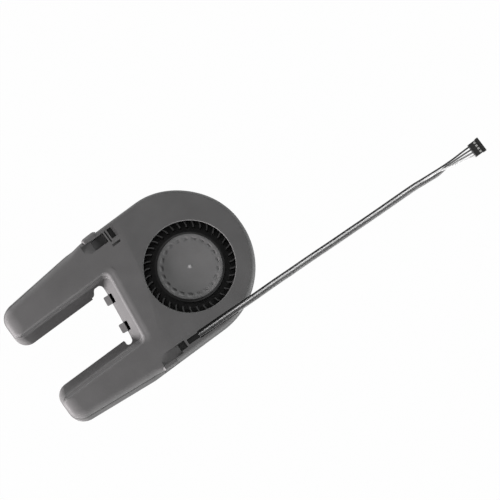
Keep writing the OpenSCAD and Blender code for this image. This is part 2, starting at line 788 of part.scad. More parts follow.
module wire(i) {
    p = wire_path(i);
    m = len(p);
    last = (m - 1) * wire_sides;
    ends = [[for (a = [0:wire_sides - 1]) a], [for (a = [wire_sides - 1:-1:0]) last + a]];
    sides = flipped([for (k = [0:m - 2]) each band(k, wire_sides, k + 1)]);
    polyhedron([for (k = [0:m - 1]) each wire_ring(p[k], k == 0 || k == m - 1 ? [1, 0, 0] : tangent(p, k))],
        concat(ends, sides));
}

module wire_black() {
    color("black")
        wire(0);
}

module wire_white() {
    color("white")
        wire(1);
}

module wire_dark_grey() {
    color("dimgray")
        wire(2);
}

module wire_grey() {
    color("darkgray")
        wire(3);
}

// Connector: a housing with four cavities, and a contact in each
ways = 4;
window_x = 3.1;
window_l = 1.4;
lance_low = 0.15;
connector_w = contact_pitch * (ways - 1) + 2.6;
cavity = 1.3;
module connector_housing() {
    color("black")
        translate([connector_x, connector_y, 0])
            difference() {
                union() {
                    translate([0, -connector_w / 2, 0])
                        cube([connector_l, connector_w, connector_h]);
                    translate([connector_l - 1.6, -connector_w / 2 - 0.4, 0])
                        cube([1.6, connector_w + 0.8, connector_h + 0.3]);
                }
                for (i = [0:ways - 1])
                    translate([0.8, (i - 1.5) * contact_pitch - cavity / 2, connector_h / 2 - cavity / 2])
                        cube([connector_l, cavity, cavity]);
                for (i = [0:ways - 1])
                    translate([window_x, (i - 1.5) * contact_pitch - cavity / 2, connector_h / 2])
                        cube([window_l, cavity, connector_h]);
            }
}

module crimp_terminals() {
    s = cavity - 2 * seat_gap;
    color("silver")
        for (i = [0:ways - 1])
            translate([connector_x, connector_y + (i - 1.5) * contact_pitch - s / 2, connector_h / 2 - s / 2]) {
                translate([0.8 + seat_gap, 0, 0])
                    cube([connector_l - 1.6, s, s]);
                translate([window_x + seat_gap, 0, s / 2])
                    cube([window_l - 2 * seat_gap, s, connector_h / 2 - lance_low]);
            }
}

// Rotor
groove_z = socket_z + pad_t + 0.4;
groove_h = 0.5;
groove_r = shaft_d / 2 - 0.3;
shaft_z = socket_z + pad_t + 0.01;
module shaft() {
    color("lightsteelblue")
        rotate_extrude()
            polygon([[0, shaft_z], [shaft_d / 2, shaft_z], [shaft_d / 2, groove_z], [groove_r, groove_z],
                [groove_r, groove_z + groove_h], [shaft_d / 2, groove_z + groove_h], [shaft_d / 2, yoke_top],
                [0, yoke_top]]);
}

module retaining_ring() {
    color("ivory")
        translate([0, 0, groove_z + seat_gap])
            tube(shaft_d / 2 + 0.8, groove_r + seat_gap, groove_h - 2 * seat_gap);
}

module shaft_bush() {
    color("gold")
        translate([0, 0, bush_z])
            tube(bush_r, shaft_d / 2 + seat_gap, yoke_top - bush_z);
}

module rotor_yoke() {
    color("slategray")
        rotate_extrude()
            polygon([[bush_r + seat_gap, yoke_top - yoke_t], [yoke_r - yoke_t, yoke_top - yoke_t],
                [yoke_r - yoke_t, yoke_z], [yoke_r, yoke_z], [yoke_r, yoke_top - 0.8], [yoke_r - 0.8, yoke_top],
                [bush_r + seat_gap, yoke_top]]);
}

module magnet_ring() {
    color("darkslategray")
        translate([0, 0, magnet_z])
            tube(magnet_r, magnet_in_r, magnet_h);
}

pocket_rad = 1.2;
hub_pocket_h = 0.22;
// Hub: a moulded cap over the yoke with a ring of balance pockets and a gate nub at its centre
hub_round = 0.8;
pocket_arc = 7.5;
module hub_cap() {
    color("gray")
        difference() {
            union() {
                rotate_extrude()
                    polygon(concat([[0, hub_top - hub_t], [hub_r - hub_wall, hub_top - hub_t],
                        [hub_r - hub_wall, plate_z], [hub_r, plate_z]],
                        [for (a = [0:15:90]) [hub_r - hub_round * (1 - cos(a)), hub_top - hub_round * (1 - sin(a))]],
                        [[0, hub_top]]));
                translate([0, 0, hub_top - eps])
                    cylinder(r1 = 1.1, r2 = 0.8, h = 0.3);
            }
            for (i = [0:hub_pockets - 1])
                rotate(i * 360 / hub_pockets)
                    rotate_extrude(angle = pocket_arc)
                        translate([hub_pocket_r - pocket_rad / 2, hub_top - hub_pocket_h])
                            square([pocket_rad, 2]);
        }
}

// Impeller: collar round the hub, back plate, forward-curved blades and a stiffening ring
impeller_d = 2 * (-y_right - wheel_room);
blade_r = impeller_d / 2;
blade_in_r = blade_in_d / 2;
blade_n = 5;
collar_r = hub_r + seat_gap + 1.2;
function blade_side(s) = [for (i = [0:blade_n]) let (t = i / blade_n, r = blade_in_r + (blade_r - blade_in_r) * t)
    polar([0, 0], r, blade_sweep * pow(t, 1.6)) + s * blade_t / 2 * [-sin(blade_sweep * t), cos(blade_sweep * t)]];
module impeller() {
    low = blade_side(-1);
    high = blade_side(1);
    color("black")
        union() {
            translate([0, 0, plate_z])
                tube(blade_r + 0.2, hub_r + seat_gap, plate_t);
            translate([0, 0, plate_z])
                tube(collar_r, hub_r + seat_gap, hub_top - 1.4 - plate_z);
            translate([0, 0, blade_top - 1.2])
                tube(blade_r + 0.2, blade_r - 1.4, 1.2);
            for (i = [0:blades - 1])
                rotate(i * 360 / blades)
                    translate([0, 0, plate_z + plate_t / 2])
                        linear_extrude(blade_top - 0.3 - plate_z - plate_t / 2)
                            polygon(concat(low, [for (k = [blade_n:-1:0]) high[k]]));
        }
}

base_tray();
upper_cover();
bearing_tube();
sleeve_bearing();
thrust_pad();
oil_seal();
stator_insulator_lower();
stator_core();
stator_insulator_upper();
coil_windings();
circuit_board();
driver_chip();
hall_sensor();
board_passives();
inner_lead();
exit_sleeve();
wire_black();
wire_white();
wire_dark_grey();
wire_grey();
connector_housing();
crimp_terminals();
shaft();
retaining_ring();
shaft_bush();
rotor_yoke();
magnet_ring();
hub_cap();
impeller();
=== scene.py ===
"""Flat centrifugal cooling fan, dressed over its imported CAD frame. Lengths are in millimetres
until add_mesh and place_curve turn them into metres; the frame's axes are the CAD model's."""
import math

import bpy
import numpy as np
from mathutils import Matrix, Vector


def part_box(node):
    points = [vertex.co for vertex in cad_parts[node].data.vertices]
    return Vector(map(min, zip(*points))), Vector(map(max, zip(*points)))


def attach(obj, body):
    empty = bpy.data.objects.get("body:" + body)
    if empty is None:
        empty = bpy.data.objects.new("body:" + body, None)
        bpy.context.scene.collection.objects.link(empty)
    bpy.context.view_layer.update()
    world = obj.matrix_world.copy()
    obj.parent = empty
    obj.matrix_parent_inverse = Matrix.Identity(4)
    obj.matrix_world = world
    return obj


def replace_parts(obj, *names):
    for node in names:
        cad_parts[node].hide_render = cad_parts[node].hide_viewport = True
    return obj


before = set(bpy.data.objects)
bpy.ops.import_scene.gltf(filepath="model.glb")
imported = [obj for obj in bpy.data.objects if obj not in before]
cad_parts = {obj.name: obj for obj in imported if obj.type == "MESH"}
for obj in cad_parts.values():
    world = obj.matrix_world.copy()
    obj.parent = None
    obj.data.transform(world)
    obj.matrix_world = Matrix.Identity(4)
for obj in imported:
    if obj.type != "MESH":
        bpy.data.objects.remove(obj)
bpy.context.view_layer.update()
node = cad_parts

# Base tray: the lower shell, moulded in dark grey plastic, with a flared skirt that is open under
# the legs. Its wall is lofted through rings of one rounded outline, each set in by zone; the floor,
# the lugs at the gap and the hooks for the cover's latches are moulded on.
MM = 0.001
BODY_W, BODY_H, PART_Z, SIDE_SHIFT = 90.6, 20.0, 11.0, 4.2
WALL, FLOOR_T = 1.8, 1.6
NOSE_R, NOSE_BACK, NOSE_FLAT, FLANK_R = 43.6, 3.6, 0.9, 46.0
LEG_REACH, LEG_ROOT, LEG_TAPER, LEG_GAP = 108.0, 56.0, 5.4, 30.4
CORNER_OUT, CORNER_IN, CORNER_LEAST = 10.0, 8.0, 1.0
NOTCH_REACH, NOTCH_SKEW, NOTCH_CORNER, NOTCH_SOFTENS = 50.2, 7.2, 1.5, 0.3
CREASE_REACH, CREASE_SKEW = 27.0, 13.0
Y_LEFT = SIDE_SHIFT + BODY_W / 2
Y_RIGHT = SIDE_SHIFT - BODY_W / 2
BLEND_L = 14.0
NOSE_C = np.array([-NOSE_BACK, Y_LEFT - NOSE_R])
FLANK_C = np.array([NOSE_C[0] + NOSE_R - FLANK_R, Y_RIGHT + FLANK_R])
ROUND_N, BLEND_N, CORNER_N, NOTCH_N = 60, 8, 14, 8
# the outline's zones, and how far each is set in at the tray's rim, the cover's edge and its foot
ROUND_END, LEG_SIDE, LEG_END, LEFT_INSIDE, GAP_WALL, RIGHT_INSIDE = range(6)
TRAY_EDGE = np.array([0.5, 1.6, 1.0, 4.5, 5.9, 5.3])
COVER_EDGE = TRAY_EDGE + [0.1, 0.7, 0.5, 0.0, 0.0, 0.0]
WALL_FOOT = COVER_EDGE + [0.0, 0.0, 0.0, 0.1, 0.3, 0.1]
EVEN = np.ones(len(TRAY_EDGE))
# the outline's straight lines: a point on each, its heading in degrees and its zone
LINES = {
    "left_outer": ((-LEG_ROOT, Y_LEFT), 180 + LEG_TAPER, LEG_SIDE),
    "end": ((-LEG_REACH, 0.0), 270.0, LEG_END),
    "left_inner": ((0.0, SIDE_SHIFT + LEG_GAP / 2), 360.0, LEFT_INSIDE),
    "notch": ((-NOTCH_REACH, SIDE_SHIFT), 270 - NOTCH_SKEW, GAP_WALL),
    "right_inner": ((0.0, SIDE_SHIFT - LEG_GAP / 2), 180.0, RIGHT_INSIDE),
    "right_outer": ((-LEG_ROOT, Y_RIGHT), 360 - LEG_TAPER, LEG_SIDE),
}
CORNERS = (
    ("left_outer", "end", CORNER_OUT, CORNER_N),
    ("end", "left_inner", CORNER_IN, CORNER_N),
    ("left_inner", "notch", NOTCH_CORNER, NOTCH_N),
    ("notch", "right_inner", NOTCH_CORNER, NOTCH_N),
    ("right_inner", "end", CORNER_IN, CORNER_N),
    ("end", "right_outer", CORNER_OUT, CORNER_N),
)


def rot(angle):
    """Unit vector at an angle in degrees: its cosine and sine. An array of angles gives one for each."""
    angle = np.radians(angle)
    return np.stack([np.cos(angle), np.sin(angle)], axis=-1)


def crease_x(y):
    """X of the crease across the cover's top, a straight line skewed from the Y axis."""
    return -CREASE_REACH + (y - SIDE_SHIFT) * math.tan(math.radians(CREASE_SKEW))


def outline_rows(points, first=ROUND_END, second=ROUND_END, share=0.0):
    """Rows of an outline: x, y, the two zones that the points lie between and the second one's share."""
    points = np.atleast_2d(points)
    zones = [np.broadcast_to(value, len(points)) for value in (first, second, share)]
    return np.column_stack([points, *zones])


def corner(first, second, radius, n, d):
    """Rounded corner of two outline lines that are set in by their zones: an arc whose centre lies one
    radius inside both lines. An outer corner gets tighter with the inset, an inner one wider."""
    (p, a, u), (q, b, v) = LINES[first], LINES[second]
    side = math.copysign(1.0, b - a)
    mean = (d[u] + d[v]) / 2
    r = max(CORNER_LEAST, radius - mean) if side > 0 else radius + NOTCH_SOFTENS * mean
    p = np.array(p) + rot(a + 90) * (d[u] + side * r)
    q = np.array(q) + rot(b + 90) * (d[v] + side * r)
    along, across = rot(a), rot(b)
    w = q - p
    run = (w[0] * across[1] - w[1] * across[0]) / (along[0] * across[1] - along[1] * across[0])
    t = np.linspace(0.0, 1.0, n + 1)
    return outline_rows(p + along * run + r * rot(a - 90 * side + (b - a) * t), u, v, t)


def outline(d):
    """Plan of the housing set in by d, counter-clockwise from the flank: two quarter arcs round the nose,
    the second a little flat at its middle, straight sides that blend into the legs by a smooth step, and
    rounded corners."""
    angle = np.linspace(0.0, 90.0, ROUND_N + 1)
    flat = NOSE_FLAT * np.sin(np.radians(2 * angle)) ** 2
    flank = FLANK_C + (FLANK_R - d[ROUND_END]) * rot(angle - 90.0)
    nose = NOSE_C + (NOSE_R - flat - d[ROUND_END])[:, None] * rot(angle)
    t = np.linspace(0.0, 1.0, BLEND_N + 1)
    share = t * t * (3 - 2 * t)
    x = BLEND_L - LEG_ROOT - t * BLEND_L
    inset = d[ROUND_END] + share * (d[LEG_SIDE] - d[ROUND_END])
    left, right = Y_LEFT - d[ROUND_END], Y_RIGHT + d[ROUND_END]
    return np.vstack([
        outline_rows(flank),
        outline_rows(nose),
        outline_rows((crease_x(left), left)),
        outline_rows(np.column_stack([x, Y_LEFT - inset]), ROUND_END, LEG_SIDE, share),
        *[corner(*c, d) for c in CORNERS],
        outline_rows(np.column_stack([x, Y_RIGHT + inset]), ROUND_END, LEG_SIDE, share)[::-1],
        outline_rows((crease_x(right), right)),
    ])


def level_ring(d, z):
    """Outline set in by d at one height."""
    plan = outline(d)[:, :2]
    return np.column_stack([plan, np.full(len(plan), z)])


def loft_faces(rings, n, closed=False):
    """Quads from each of so many rings of n points to the next; closed joins the last ring to the first."""
    k, i = np.meshgrid(np.arange(rings if closed else rings - 1), np.arange(n), indexing="ij")
    up, on = (k + 1) % rings * n, (i + 1) % n
    return np.stack([k * n + i, up + i, up + on, k * n + on], axis=-1).reshape(-1, 4).tolist()


def add_mesh(name, verts, faces, flip=False):
    """Mesh object from points in millimetres; flip turns its faces round."""
    mesh = bpy.data.meshes.new(name)
    mesh.from_pydata((np.asarray(verts) * MM).tolist(), [], faces)
    if flip:
        mesh.flip_normals()
    mesh.update()
    obj = bpy.data.objects.new(name, mesh)
    bpy.context.scene.collection.objects.link(obj)
    return obj


def prism(name, plan, z0, z1):
    """Upright prism over a counter-clockwise plan, between two heights, which may differ by point."""
    plan = np.asarray(plan, float)
    n = len(plan)
    low = np.column_stack([plan, np.broadcast_to(z0, n)])
    high = np.column_stack([plan, np.broadcast_to(z1, n)])
    i = np.arange(n)
    on = (i + 1) % n
    sides = np.column_stack([i, on, n + on, n + i]).tolist()
    return add_mesh(name, np.vstack([low, high]), [i[::-1].tolist(), (n + i).tolist(), *sides])


def rounded_plan(x0, x1, y0, y1, r, steps=4):
    """Rectangle with a quarter circle at each corner, counter-clockwise."""
    centres = np.array([(x1 - r, y1 - r), (x0 + r, y1 - r), (x0 + r, y0 + r), (x1 - r, y0 + r)])
    angles = np.arange(0, 360, 90)[:, None] + np.linspace(0, 90, steps + 1)
    return (centres[:, None] + r * rot(angles)).reshape(-1, 2)


def box(name, x0, x1, y0, y1, z0, z1, r=0.3):
    """Upright block with rounded corners in plan."""
    return prism(name, rounded_plan(x0, x1, y0, y1, r), z0, z1)


def turned(plan, angle, at):
    """Plan turned by an angle and moved to a point."""
    c, s = rot(angle)
    return plan @ np.array([[c, s], [-s, c]]) + np.asarray(at)


def combine(obj, others, how):
    """Boolean of obj with each of the others in turn; the others are used up."""
    for other in others:
        mod = obj.modifiers.new("cut", "BOOLEAN")
        mod.operation, mod.solver, mod.object = how, "EXACT", other
    deps = bpy.context.evaluated_depsgraph_get()
    mesh = bpy.data.meshes.new_from_object(obj.evaluated_get(deps))
    obj.modifiers.clear()
    obj.data = mesh
    for other in others:
        bpy.data.objects.remove(other)
    return obj


def shade(obj, material, angle=32.0):
    """Smooth shading with sharp edges over an angle, normals weighted by face area."""
    obj.data.materials.clear()
    obj.data.materials.append(material)
    obj.data.polygons.foreach_set("use_smooth", np.ones(len(obj.data.polygons), bool))
    obj.data.set_sharp_from_angle(angle=math.radians(angle))
    mod = obj.modifiers.new("flat faces stay flat", "WEIGHTED_NORMAL")
    mod.keep_sharp = True
    mod.weight = 90
    return obj


def merge(obj, others):
    """Joins the others' meshes into obj's."""
    with bpy.context.temp_override(active_object=obj, selected_editable_objects=[obj, *others]):
        bpy.ops.object.join()
    return obj


FLOW_SCALE, FLOW_DETAIL, FLOW_TONE = 70.0, 5.0, (0.93, 1.07)
GRAIN_DETAIL, GRAIN_TONE, GRAIN_BUMP = 3.0, (0.90, 1.10), 0.5
NOISE_SPAN = (0.3, 0.7)


def skin_group():
    """Moulded skin: fine noise gives the tool's grain as bump, tone and sheen, broad noise the flow marks."""
    g = bpy.data.node_groups.new("moulded_skin", "ShaderNodeTree")
    for name, kind in (("Base", "Color"), ("Grain", "Float"), ("Depth", "Float"), ("Roughness", "Float")):
        g.interface.new_socket(name, in_out="INPUT", socket_type="NodeSocket" + kind)
    for name, kind in (("Color", "Color"), ("Roughness", "Float"), ("Normal", "Vector")):
        g.interface.new_socket(name, in_out="OUTPUT", socket_type="NodeSocket" + kind)
    new, link = g.nodes.new, g.links.new
    inp, out, tex = new("NodeGroupInput"), new("NodeGroupOutput"), new("ShaderNodeTexCoord")
    fine, broad = new("ShaderNodeTexNoise"), new("ShaderNodeTexNoise")
    fine.inputs["Detail"].default_value = GRAIN_DETAIL
    broad.inputs["Scale"].default_value = FLOW_SCALE
    broad.inputs["Detail"].default_value = FLOW_DETAIL
    link(tex.outputs["Object"], fine.inputs["Vector"])
    link(tex.outputs["Object"], broad.inputs["Vector"])
    link(inp.outputs["Grain"], fine.inputs["Scale"])
    flow_tone, grain_tone = new("ShaderNodeMapRange"), new("ShaderNodeMapRange")
    for span, noise, (low, high) in ((flow_tone, broad, FLOW_TONE), (grain_tone, fine, GRAIN_TONE)):
        span.inputs["From Min"].default_value = NOISE_SPAN[0]
        span.inputs["From Max"].default_value = NOISE_SPAN[1]
        span.inputs["To Min"].default_value = low
        span.inputs["To Max"].default_value = high
        link(noise.outputs["Fac"], span.inputs["Value"])
    both, tint = new("ShaderNodeMath"), new("ShaderNodeVectorMath")
    both.operation, tint.operation = "MULTIPLY", "SCALE"
    link(flow_tone.outputs["Result"], both.inputs[0])
    link(grain_tone.outputs["Result"], both.inputs[1])
    link(inp.outputs["Base"], tint.inputs[0])
    link(both.outputs["Value"], tint.inputs["Scale"])
    link(tint.outputs["Vector"], out.inputs["Color"])
    rough = new("ShaderNodeMath")
    rough.operation = "MULTIPLY"
    link(inp.outputs["Roughness"], rough.inputs[0])
    link(grain_tone.outputs["Result"], rough.inputs[1])
    link(rough.outputs["Value"], out.inputs["Roughness"])
    bump = new("ShaderNodeBump")
    bump.inputs["Strength"].default_value = GRAIN_BUMP
    link(inp.outputs["Depth"], bump.inputs["Distance"])
    link(fine.outputs["Fac"], bump.inputs["Height"])
    link(bump.outputs["Normal"], out.inputs["Normal"])
    return g


SKIN = skin_group()


def moulded(name, tone, grain, depth, rough, specular=0.5):
    """Moulded plastic: the skin group drives a Principled shader; tone is linear, one value or three."""
    mat = bpy.data.materials.new(name)
    mat.use_nodes = True
    tree = mat.node_tree
    bsdf = tree.nodes["Principled BSDF"]
    skin = tree.nodes.new("ShaderNodeGroup")
    skin.node_tree = SKIN
    rgb = (tone, tone, tone) if np.isscalar(tone) else tone
    skin.inputs["Base"].default_value = (*rgb, 1.0)
    skin.inputs["Grain"].default_value = grain
    skin.inputs["Depth"].default_value = depth
    skin.inputs["Roughness"].default_value = rough
    bsdf.inputs["Specular IOR Level"].default_value = specular
    tree.links.new(skin.outputs["Color"], bsdf.inputs["Base Color"])
    tree.links.new(skin.outputs["Roughness"], bsdf.inputs["Roughness"])
    tree.links.new(skin.outputs["Normal"], bsdf.inputs["Normal"])
    return mat


# the tray's wall, ring by ring: rounded foot (inset, height), flared side, rounded rim, rebate for the
# cover's lip and the inside
FOOT_EDGE = ((0.4, 0.0), (0.12, 0.1), (0.02, 0.4))
SIDE_Z = (2.0, 5.0, 8.0)
RIM_R, RIM_OUT, RIM_STEPS = 0.7, 0.03, 5
LIP_T, LIP_H, SHELL_GAP = 0.9, 1.2, 0.15
REBATE = WALL_FOOT + EVEN * (LIP_T - SHELL_GAP)
REBATE_EDGE, REBATE_SHELF, REBATE_Z = 0.2, 0.6, PART_Z - LIP_H - SHELL_GAP


def rim_ring(f):
    """Ring of the tray's rounded rim at an angle of its quarter circle, in radians."""
    return level_ring(TRAY_EDGE - RIM_OUT + RIM_R * (1 - math.cos(f)), PART_Z - RIM_R * (1 - math.sin(f)))


tray_rings = [
    *[level_ring(EVEN * inset, z) for inset, z in FOOT_EDGE],
    *[level_ring(TRAY_EDGE * z / PART_Z, z) for z in SIDE_Z],
    *[rim_ring(f) for f in np.linspace(0.0, math.pi / 2, RIM_STEPS)],
    level_ring(REBATE + REBATE_EDGE, PART_Z),
    level_ring(REBATE + REBATE_EDGE, REBATE_Z),
    level_ring(REBATE + REBATE_SHELF, REBATE_Z),
    level_ring(EVEN * WALL, 0.0),
]
ring_n = len(tray_rings[0])
tray_faces = loft_faces(len(tray_rings), ring_n, closed=True)
tray = add_mesh("tray_shell", np.vstack(tray_rings), tray_faces, flip=True)
floor = prism("tray_floor", outline(EVEN * WALL / 2)[:, :2], 0.0, FLOOR_T)

LUG_PITCH, LUG_L, LUG_OUT, LUG_RISE, LUG_FALL, LUG_ROOT, LUG_R = 18.4, 5.6, 3.2, 0.6, 0.35, 0.5, 0.7
LUG_AT = (-LUG_PITCH / 2, LUG_PITCH / 2)
SLIT_IN, SLIT_PAST, SLIT_GAP, SLIT_R, SLIT_LOW, SLIT_HIGH = 0.4, WALL * 2.2, 0.1, 0.2, 0.9, 3.0
# the cuts at the gap's corners: side of the gap, radius of the slot's round end, reach past the leg's line
RELIEFS = ((1, 3.3, 1.2), (-1, 2.2, 2.4))
RELIEF_RUN, RELIEF_LOW = 6.0, 1.0
EASE_R, EASE_RUN, EASE_LAP = 2.4, 3.0, 0.1
SLOT_N, EASE_N = 25, 9
OPEN_FROM = NOTCH_REACH + 5.0
OPEN_L, OPEN_W, OPEN_H = 200.0, 100.0, 5.0


def at_notch(plan, y):
    """Plan placed on the wall at the end of the gap: local y along the wall, x into the housing."""
    along = np.array([-NOTCH_REACH, SIDE_SHIFT]) + rot(90 - NOTCH_SKEW) * y
    return turned(np.asarray(plan, float), -NOTCH_SKEW, along)


def relief_plans(side, r, over):
    """Two plans cut past a leg's inside: a slot with a half-round end that is open towards the gap, and a
    quarter circle that eases the leg's corner. The right side's are mirrored."""
    run, ease_run = -over - RELIEF_RUN, -over - EASE_RUN
    slot = np.vstack([[-r, 0.0] + r * rot(np.linspace(0, 180, SLOT_N)), (-2 * r, run), (0.0, run)])
    inner, outer = EASE_LAP - 2 * r, -2 * r - EASE_R
    arc = [outer, EASE_R - over] + EASE_R * rot(-np.linspace(0, 90, EASE_N))
    ease = np.vstack([arc, (outer, ease_run), (inner, ease_run), (inner, EASE_R - over)])
    plans = [slot, ease]
    return plans if side > 0 else [(p * [1, -1])[::-1] for p in plans]


def reliefs():
    """Both corners' cuts, as blocks from below the floor to just under the tray's rim."""
    plans = [at_notch(plan, side * (LEG_GAP / 2 + over))
             for side, r, over in RELIEFS for plan in relief_plans(side, r, over)]
    return [prism("relief", p, -RELIEF_LOW, PART_Z - LIP_H - RELIEF_LOW) for p in plans]


def slits():
    """Slots through the gap wall's foot, one behind each lug."""
    half = LUG_L / 2 + SLIT_GAP
    plan = rounded_plan(SLIT_IN, SLIT_PAST, -half, half, SLIT_R)
    return [prism("slit", at_notch(plan, y), FLOOR_T - SLIT_LOW, FLOOR_T + SLIT_HIGH) for y in LUG_AT]


open_legs = box("open_legs", -OPEN_L, -OPEN_FROM, -OPEN_W, OPEN_W, -OPEN_H, OPEN_H)
combine(floor, [open_legs, *reliefs(), *slits()], "DIFFERENCE")
lug_plan = rounded_plan(-LUG_OUT, LUG_ROOT, -LUG_L / 2, LUG_L / 2, LUG_R)
lug_top = FLOOR_T + LUG_RISE + LUG_FALL * lug_plan[:, 0]
lugs = [prism("lug", at_notch(lug_plan, y), 0.0, lug_top) for y in LUG_AT]
combine(tray, reliefs() + slits(), "DIFFERENCE")

# each latch: its middle, the side it is on, the way out, and how far it stands out of the wall
LATCHES = ((-37.5, Y_LEFT, 1, 0.5), (-42.8, Y_RIGHT, -1, -0.35))
LATCH_L, LATCH_T, LATCH_Z = 9.8, 0.75, 3.4
HOOK_L, HOOK_Z, HOOK_H = LATCH_L - 4.0, LATCH_Z + 2.0, 3.0
HOOK_ROOT, HOOK_FACE, HOOK_TIP = 0.4, 0.6, 0.1
RECESS_OUT, CUT_PAST, SHARP_R = 2.0, 1.0, 0.05


def upright(name, profile, y, w, place=None):
    """Block whose x-z profile runs straight across for width w about y; place moves its plan, if given."""
    profile = np.asarray(profile, float)
    ahead = np.roll(profile, -1, axis=0)
    area = profile[:, 0] * ahead[:, 1] - ahead[:, 0] * profile[:, 1]
    profile = profile if area.sum() > 0 else profile[::-1]
    n = len(profile)
    sides = [np.column_stack([profile[:, 0], np.full(n, y + o * w / 2), profile[:, 1]]) for o in (-1, 1)]
    verts = np.vstack(sides)
    if place:
        verts[:, :2] = place(verts[:, :2])
    ends = [list(range(n)), list(range(n, 2 * n))[::-1]]
    return add_mesh(name, verts, ends + loft_faces(2, n))


hooks, recesses = [], []
for x, y, out, proud in LATCHES:
    seat = proud - LATCH_T - SHELL_GAP
    hook_top = HOOK_Z + HOOK_H
    wedge = [(seat - HOOK_ROOT, HOOK_Z), (proud, HOOK_Z), (proud, HOOK_Z + HOOK_FACE),
             (seat + HOOK_TIP, hook_top), (seat - HOOK_ROOT, hook_top)]
    hook_w = HOOK_L - 2 * SHELL_GAP
    hooks.append(upright("hook", wedge, 0.0, hook_w, lambda plan: turned(plan, 90 * out, (x, y))))
    y0, y1 = sorted((y + out * seat, y + out * RECESS_OUT))
    half = LATCH_L / 2 + SHELL_GAP
    low, high = LATCH_Z - SHELL_GAP, PART_Z + CUT_PAST
    recesses.append(box("recess", x - half, x + half, y0, y1, low, high, SHARP_R))
combine(tray, recesses, "DIFFERENCE")
merge(tray, [floor, *lugs, *hooks])
tray_plastic = moulded("tray_plastic", 0.115, grain=2600.0, depth=0.00006, rough=0.6, specular=0.05)
shade(tray, tray_plastic)
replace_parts(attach(tray, "housing"), "base_tray")

# Motor: a brass tube pressed into the tray, with a sintered bearing, nylon thrust pad and rubber seal
# inside it, and the steel stator with its copper coils between nylon insulators round it. All are CAD
# solids that keep their shape.
MOTOR_METALS = {
    "bearing_tube": ((0.55, 0.38, 0.14), 0.32), "sleeve_bearing": ((0.36, 0.20, 0.09), 0.55),
    "stator_core": ((0.42, 0.43, 0.45), 0.45), "coil_windings": ((0.42, 0.16, 0.06), 0.38),
}
MOTOR_PLASTICS = {
    "thrust_pad": (0.7, 0.4), "oil_seal": (0.012, 0.45), "stator_insulator_lower": (0.65, 0.45),
    "stator_insulator_upper": (0.65, 0.45),
}
STREAK_SCALE, STREAK_BUMP, STREAK_DEPTH = (300.0, 300.0, 9000.0), 0.25, 0.00002
STREAK_LOW, STREAK_HIGH = 0.8, 1.25
SMALL_GRAIN, SMALL_DEPTH = 6000.0, 0.00003


def brushed(name, tone, rough):
    """Metal with fine turned streaks: noise stretched along the turning direction drives bump and sheen."""
    mat = bpy.data.materials.new(name)
    mat.use_nodes = True
    tree = mat.node_tree
    bsdf = tree.nodes["Principled BSDF"]
    bsdf.inputs["Base Color"].default_value = (*tone, 1.0)
    bsdf.inputs["Metallic"].default_value = 1.0
    tex, mapping = tree.nodes.new("ShaderNodeTexCoord"), tree.nodes.new("ShaderNodeMapping")
    noise, spread, bump = (tree.nodes.new("ShaderNode" + k) for k in ("TexNoise", "MapRange", "Bump"))
    mapping.inputs["Scale"].default_value = STREAK_SCALE
    spread.inputs["To Min"].default_value = rough * STREAK_LOW
    spread.inputs["To Max"].default_value = rough * STREAK_HIGH
    bump.inputs["Strength"].default_value = STREAK_BUMP
    bump.inputs["Distance"].default_value = STREAK_DEPTH
    tree.links.new(tex.outputs["Object"], mapping.inputs["Vector"])
    tree.links.new(mapping.outputs["Vector"], noise.inputs["Vector"])
    tree.links.new(noise.outputs["Fac"], spread.inputs["Value"])
    tree.links.new(spread.outputs["Result"], bsdf.inputs["Roughness"])
    tree.links.new(noise.outputs["Fac"], bump.inputs["Height"])
    tree.links.new(bump.outputs["Normal"], bsdf.inputs["Normal"])
    return mat


def paint(obj, material):
    """Gives a CAD node its material."""
    obj.data.materials.clear()
    obj.data.materials.append(material)


def paint_metals(parts):
    """Brushed metal on CAD nodes, each with its own colour and roughness."""
    for name, (tone, rough) in parts.items():
        paint(node[name], brushed(name, tone, rough))


def paint_plastics(parts):
    """Finely grained plastic on small CAD nodes, each with its own tone and roughness."""
    for name, (tone, rough) in parts.items():
        paint(node[name], moulded(name, tone, SMALL_GRAIN, SMALL_DEPTH, rough))


paint_metals(MOTOR_METALS)
paint_plastics(MOTOR_PLASTICS)

# Board under the stator: green resin board with a black driver chip, a black rotor sensor, small brown
# parts and the wires that lead to it. Soldered together in the real fan; CAD solids here.
paint_plastics({
    "circuit_board": ((0.012, 0.07, 0.025), 0.3), "driver_chip": (0.012, 0.4), "hall_sensor": (0.012, 0.4),
    "board_passives": ((0.3, 0.2, 0.12), 0.4), "inner_lead": (0.04, 0.45),
})

# Rotor: steel shaft with a nylon retaining ring, brass bush, steel yoke and magnet ring, and over them a
# black blade ring round a grey hub cap, pressed together to turn as one. All are CAD solids but the cap,
# which is a turned cup with soft balance dents and a pale gate mark that also carries a painted highlight.
paint_metals({
    "shaft": ((0.55, 0.56, 0.58), 0.22), "shaft_bush": ((0.55, 0.38, 0.14), 0.3),
    "rotor_yoke": ((0.40, 0.41, 0.42), 0.4),
})
paint_plastics({"retaining_ring": (0.7, 0.4), "magnet_ring": (0.02, 0.6)})
impeller_plastic = moulded("impeller_plastic", 0.057, grain=5000.0, depth=0.00003, rough=0.5, specular=0.3)
paint(node["impeller"], impeller_plastic)
HUB_R, HUB_TOP, HUB_T, HUB_WALL, HUB_ROUND = 19.2, BODY_H - 3.4, 1.7, 1.15, 0.5
HUB_EYE, HUB_RINGS, RIM_ANGLES = 0.3, 64, np.linspace(75, 0, 6)
DENTS, DENT_R, DENT_H, DENT_TURN = 21, 16.4, 0.46, 0.1
DENT_WIDE, DENT_LONG = 0.85, 1.4
DENT_POINTS = 16
NUB_R, NUB_H = 0.8, 0.26
# the gate tone is the centre spot's colour: the gate mark together with a painted highlight on it
HUB_TONE, GATE_AND_HIGHLIGHT_TONE, GATE_IN, GATE_OUT = 0.198, 0.5, 0.3, 1.5


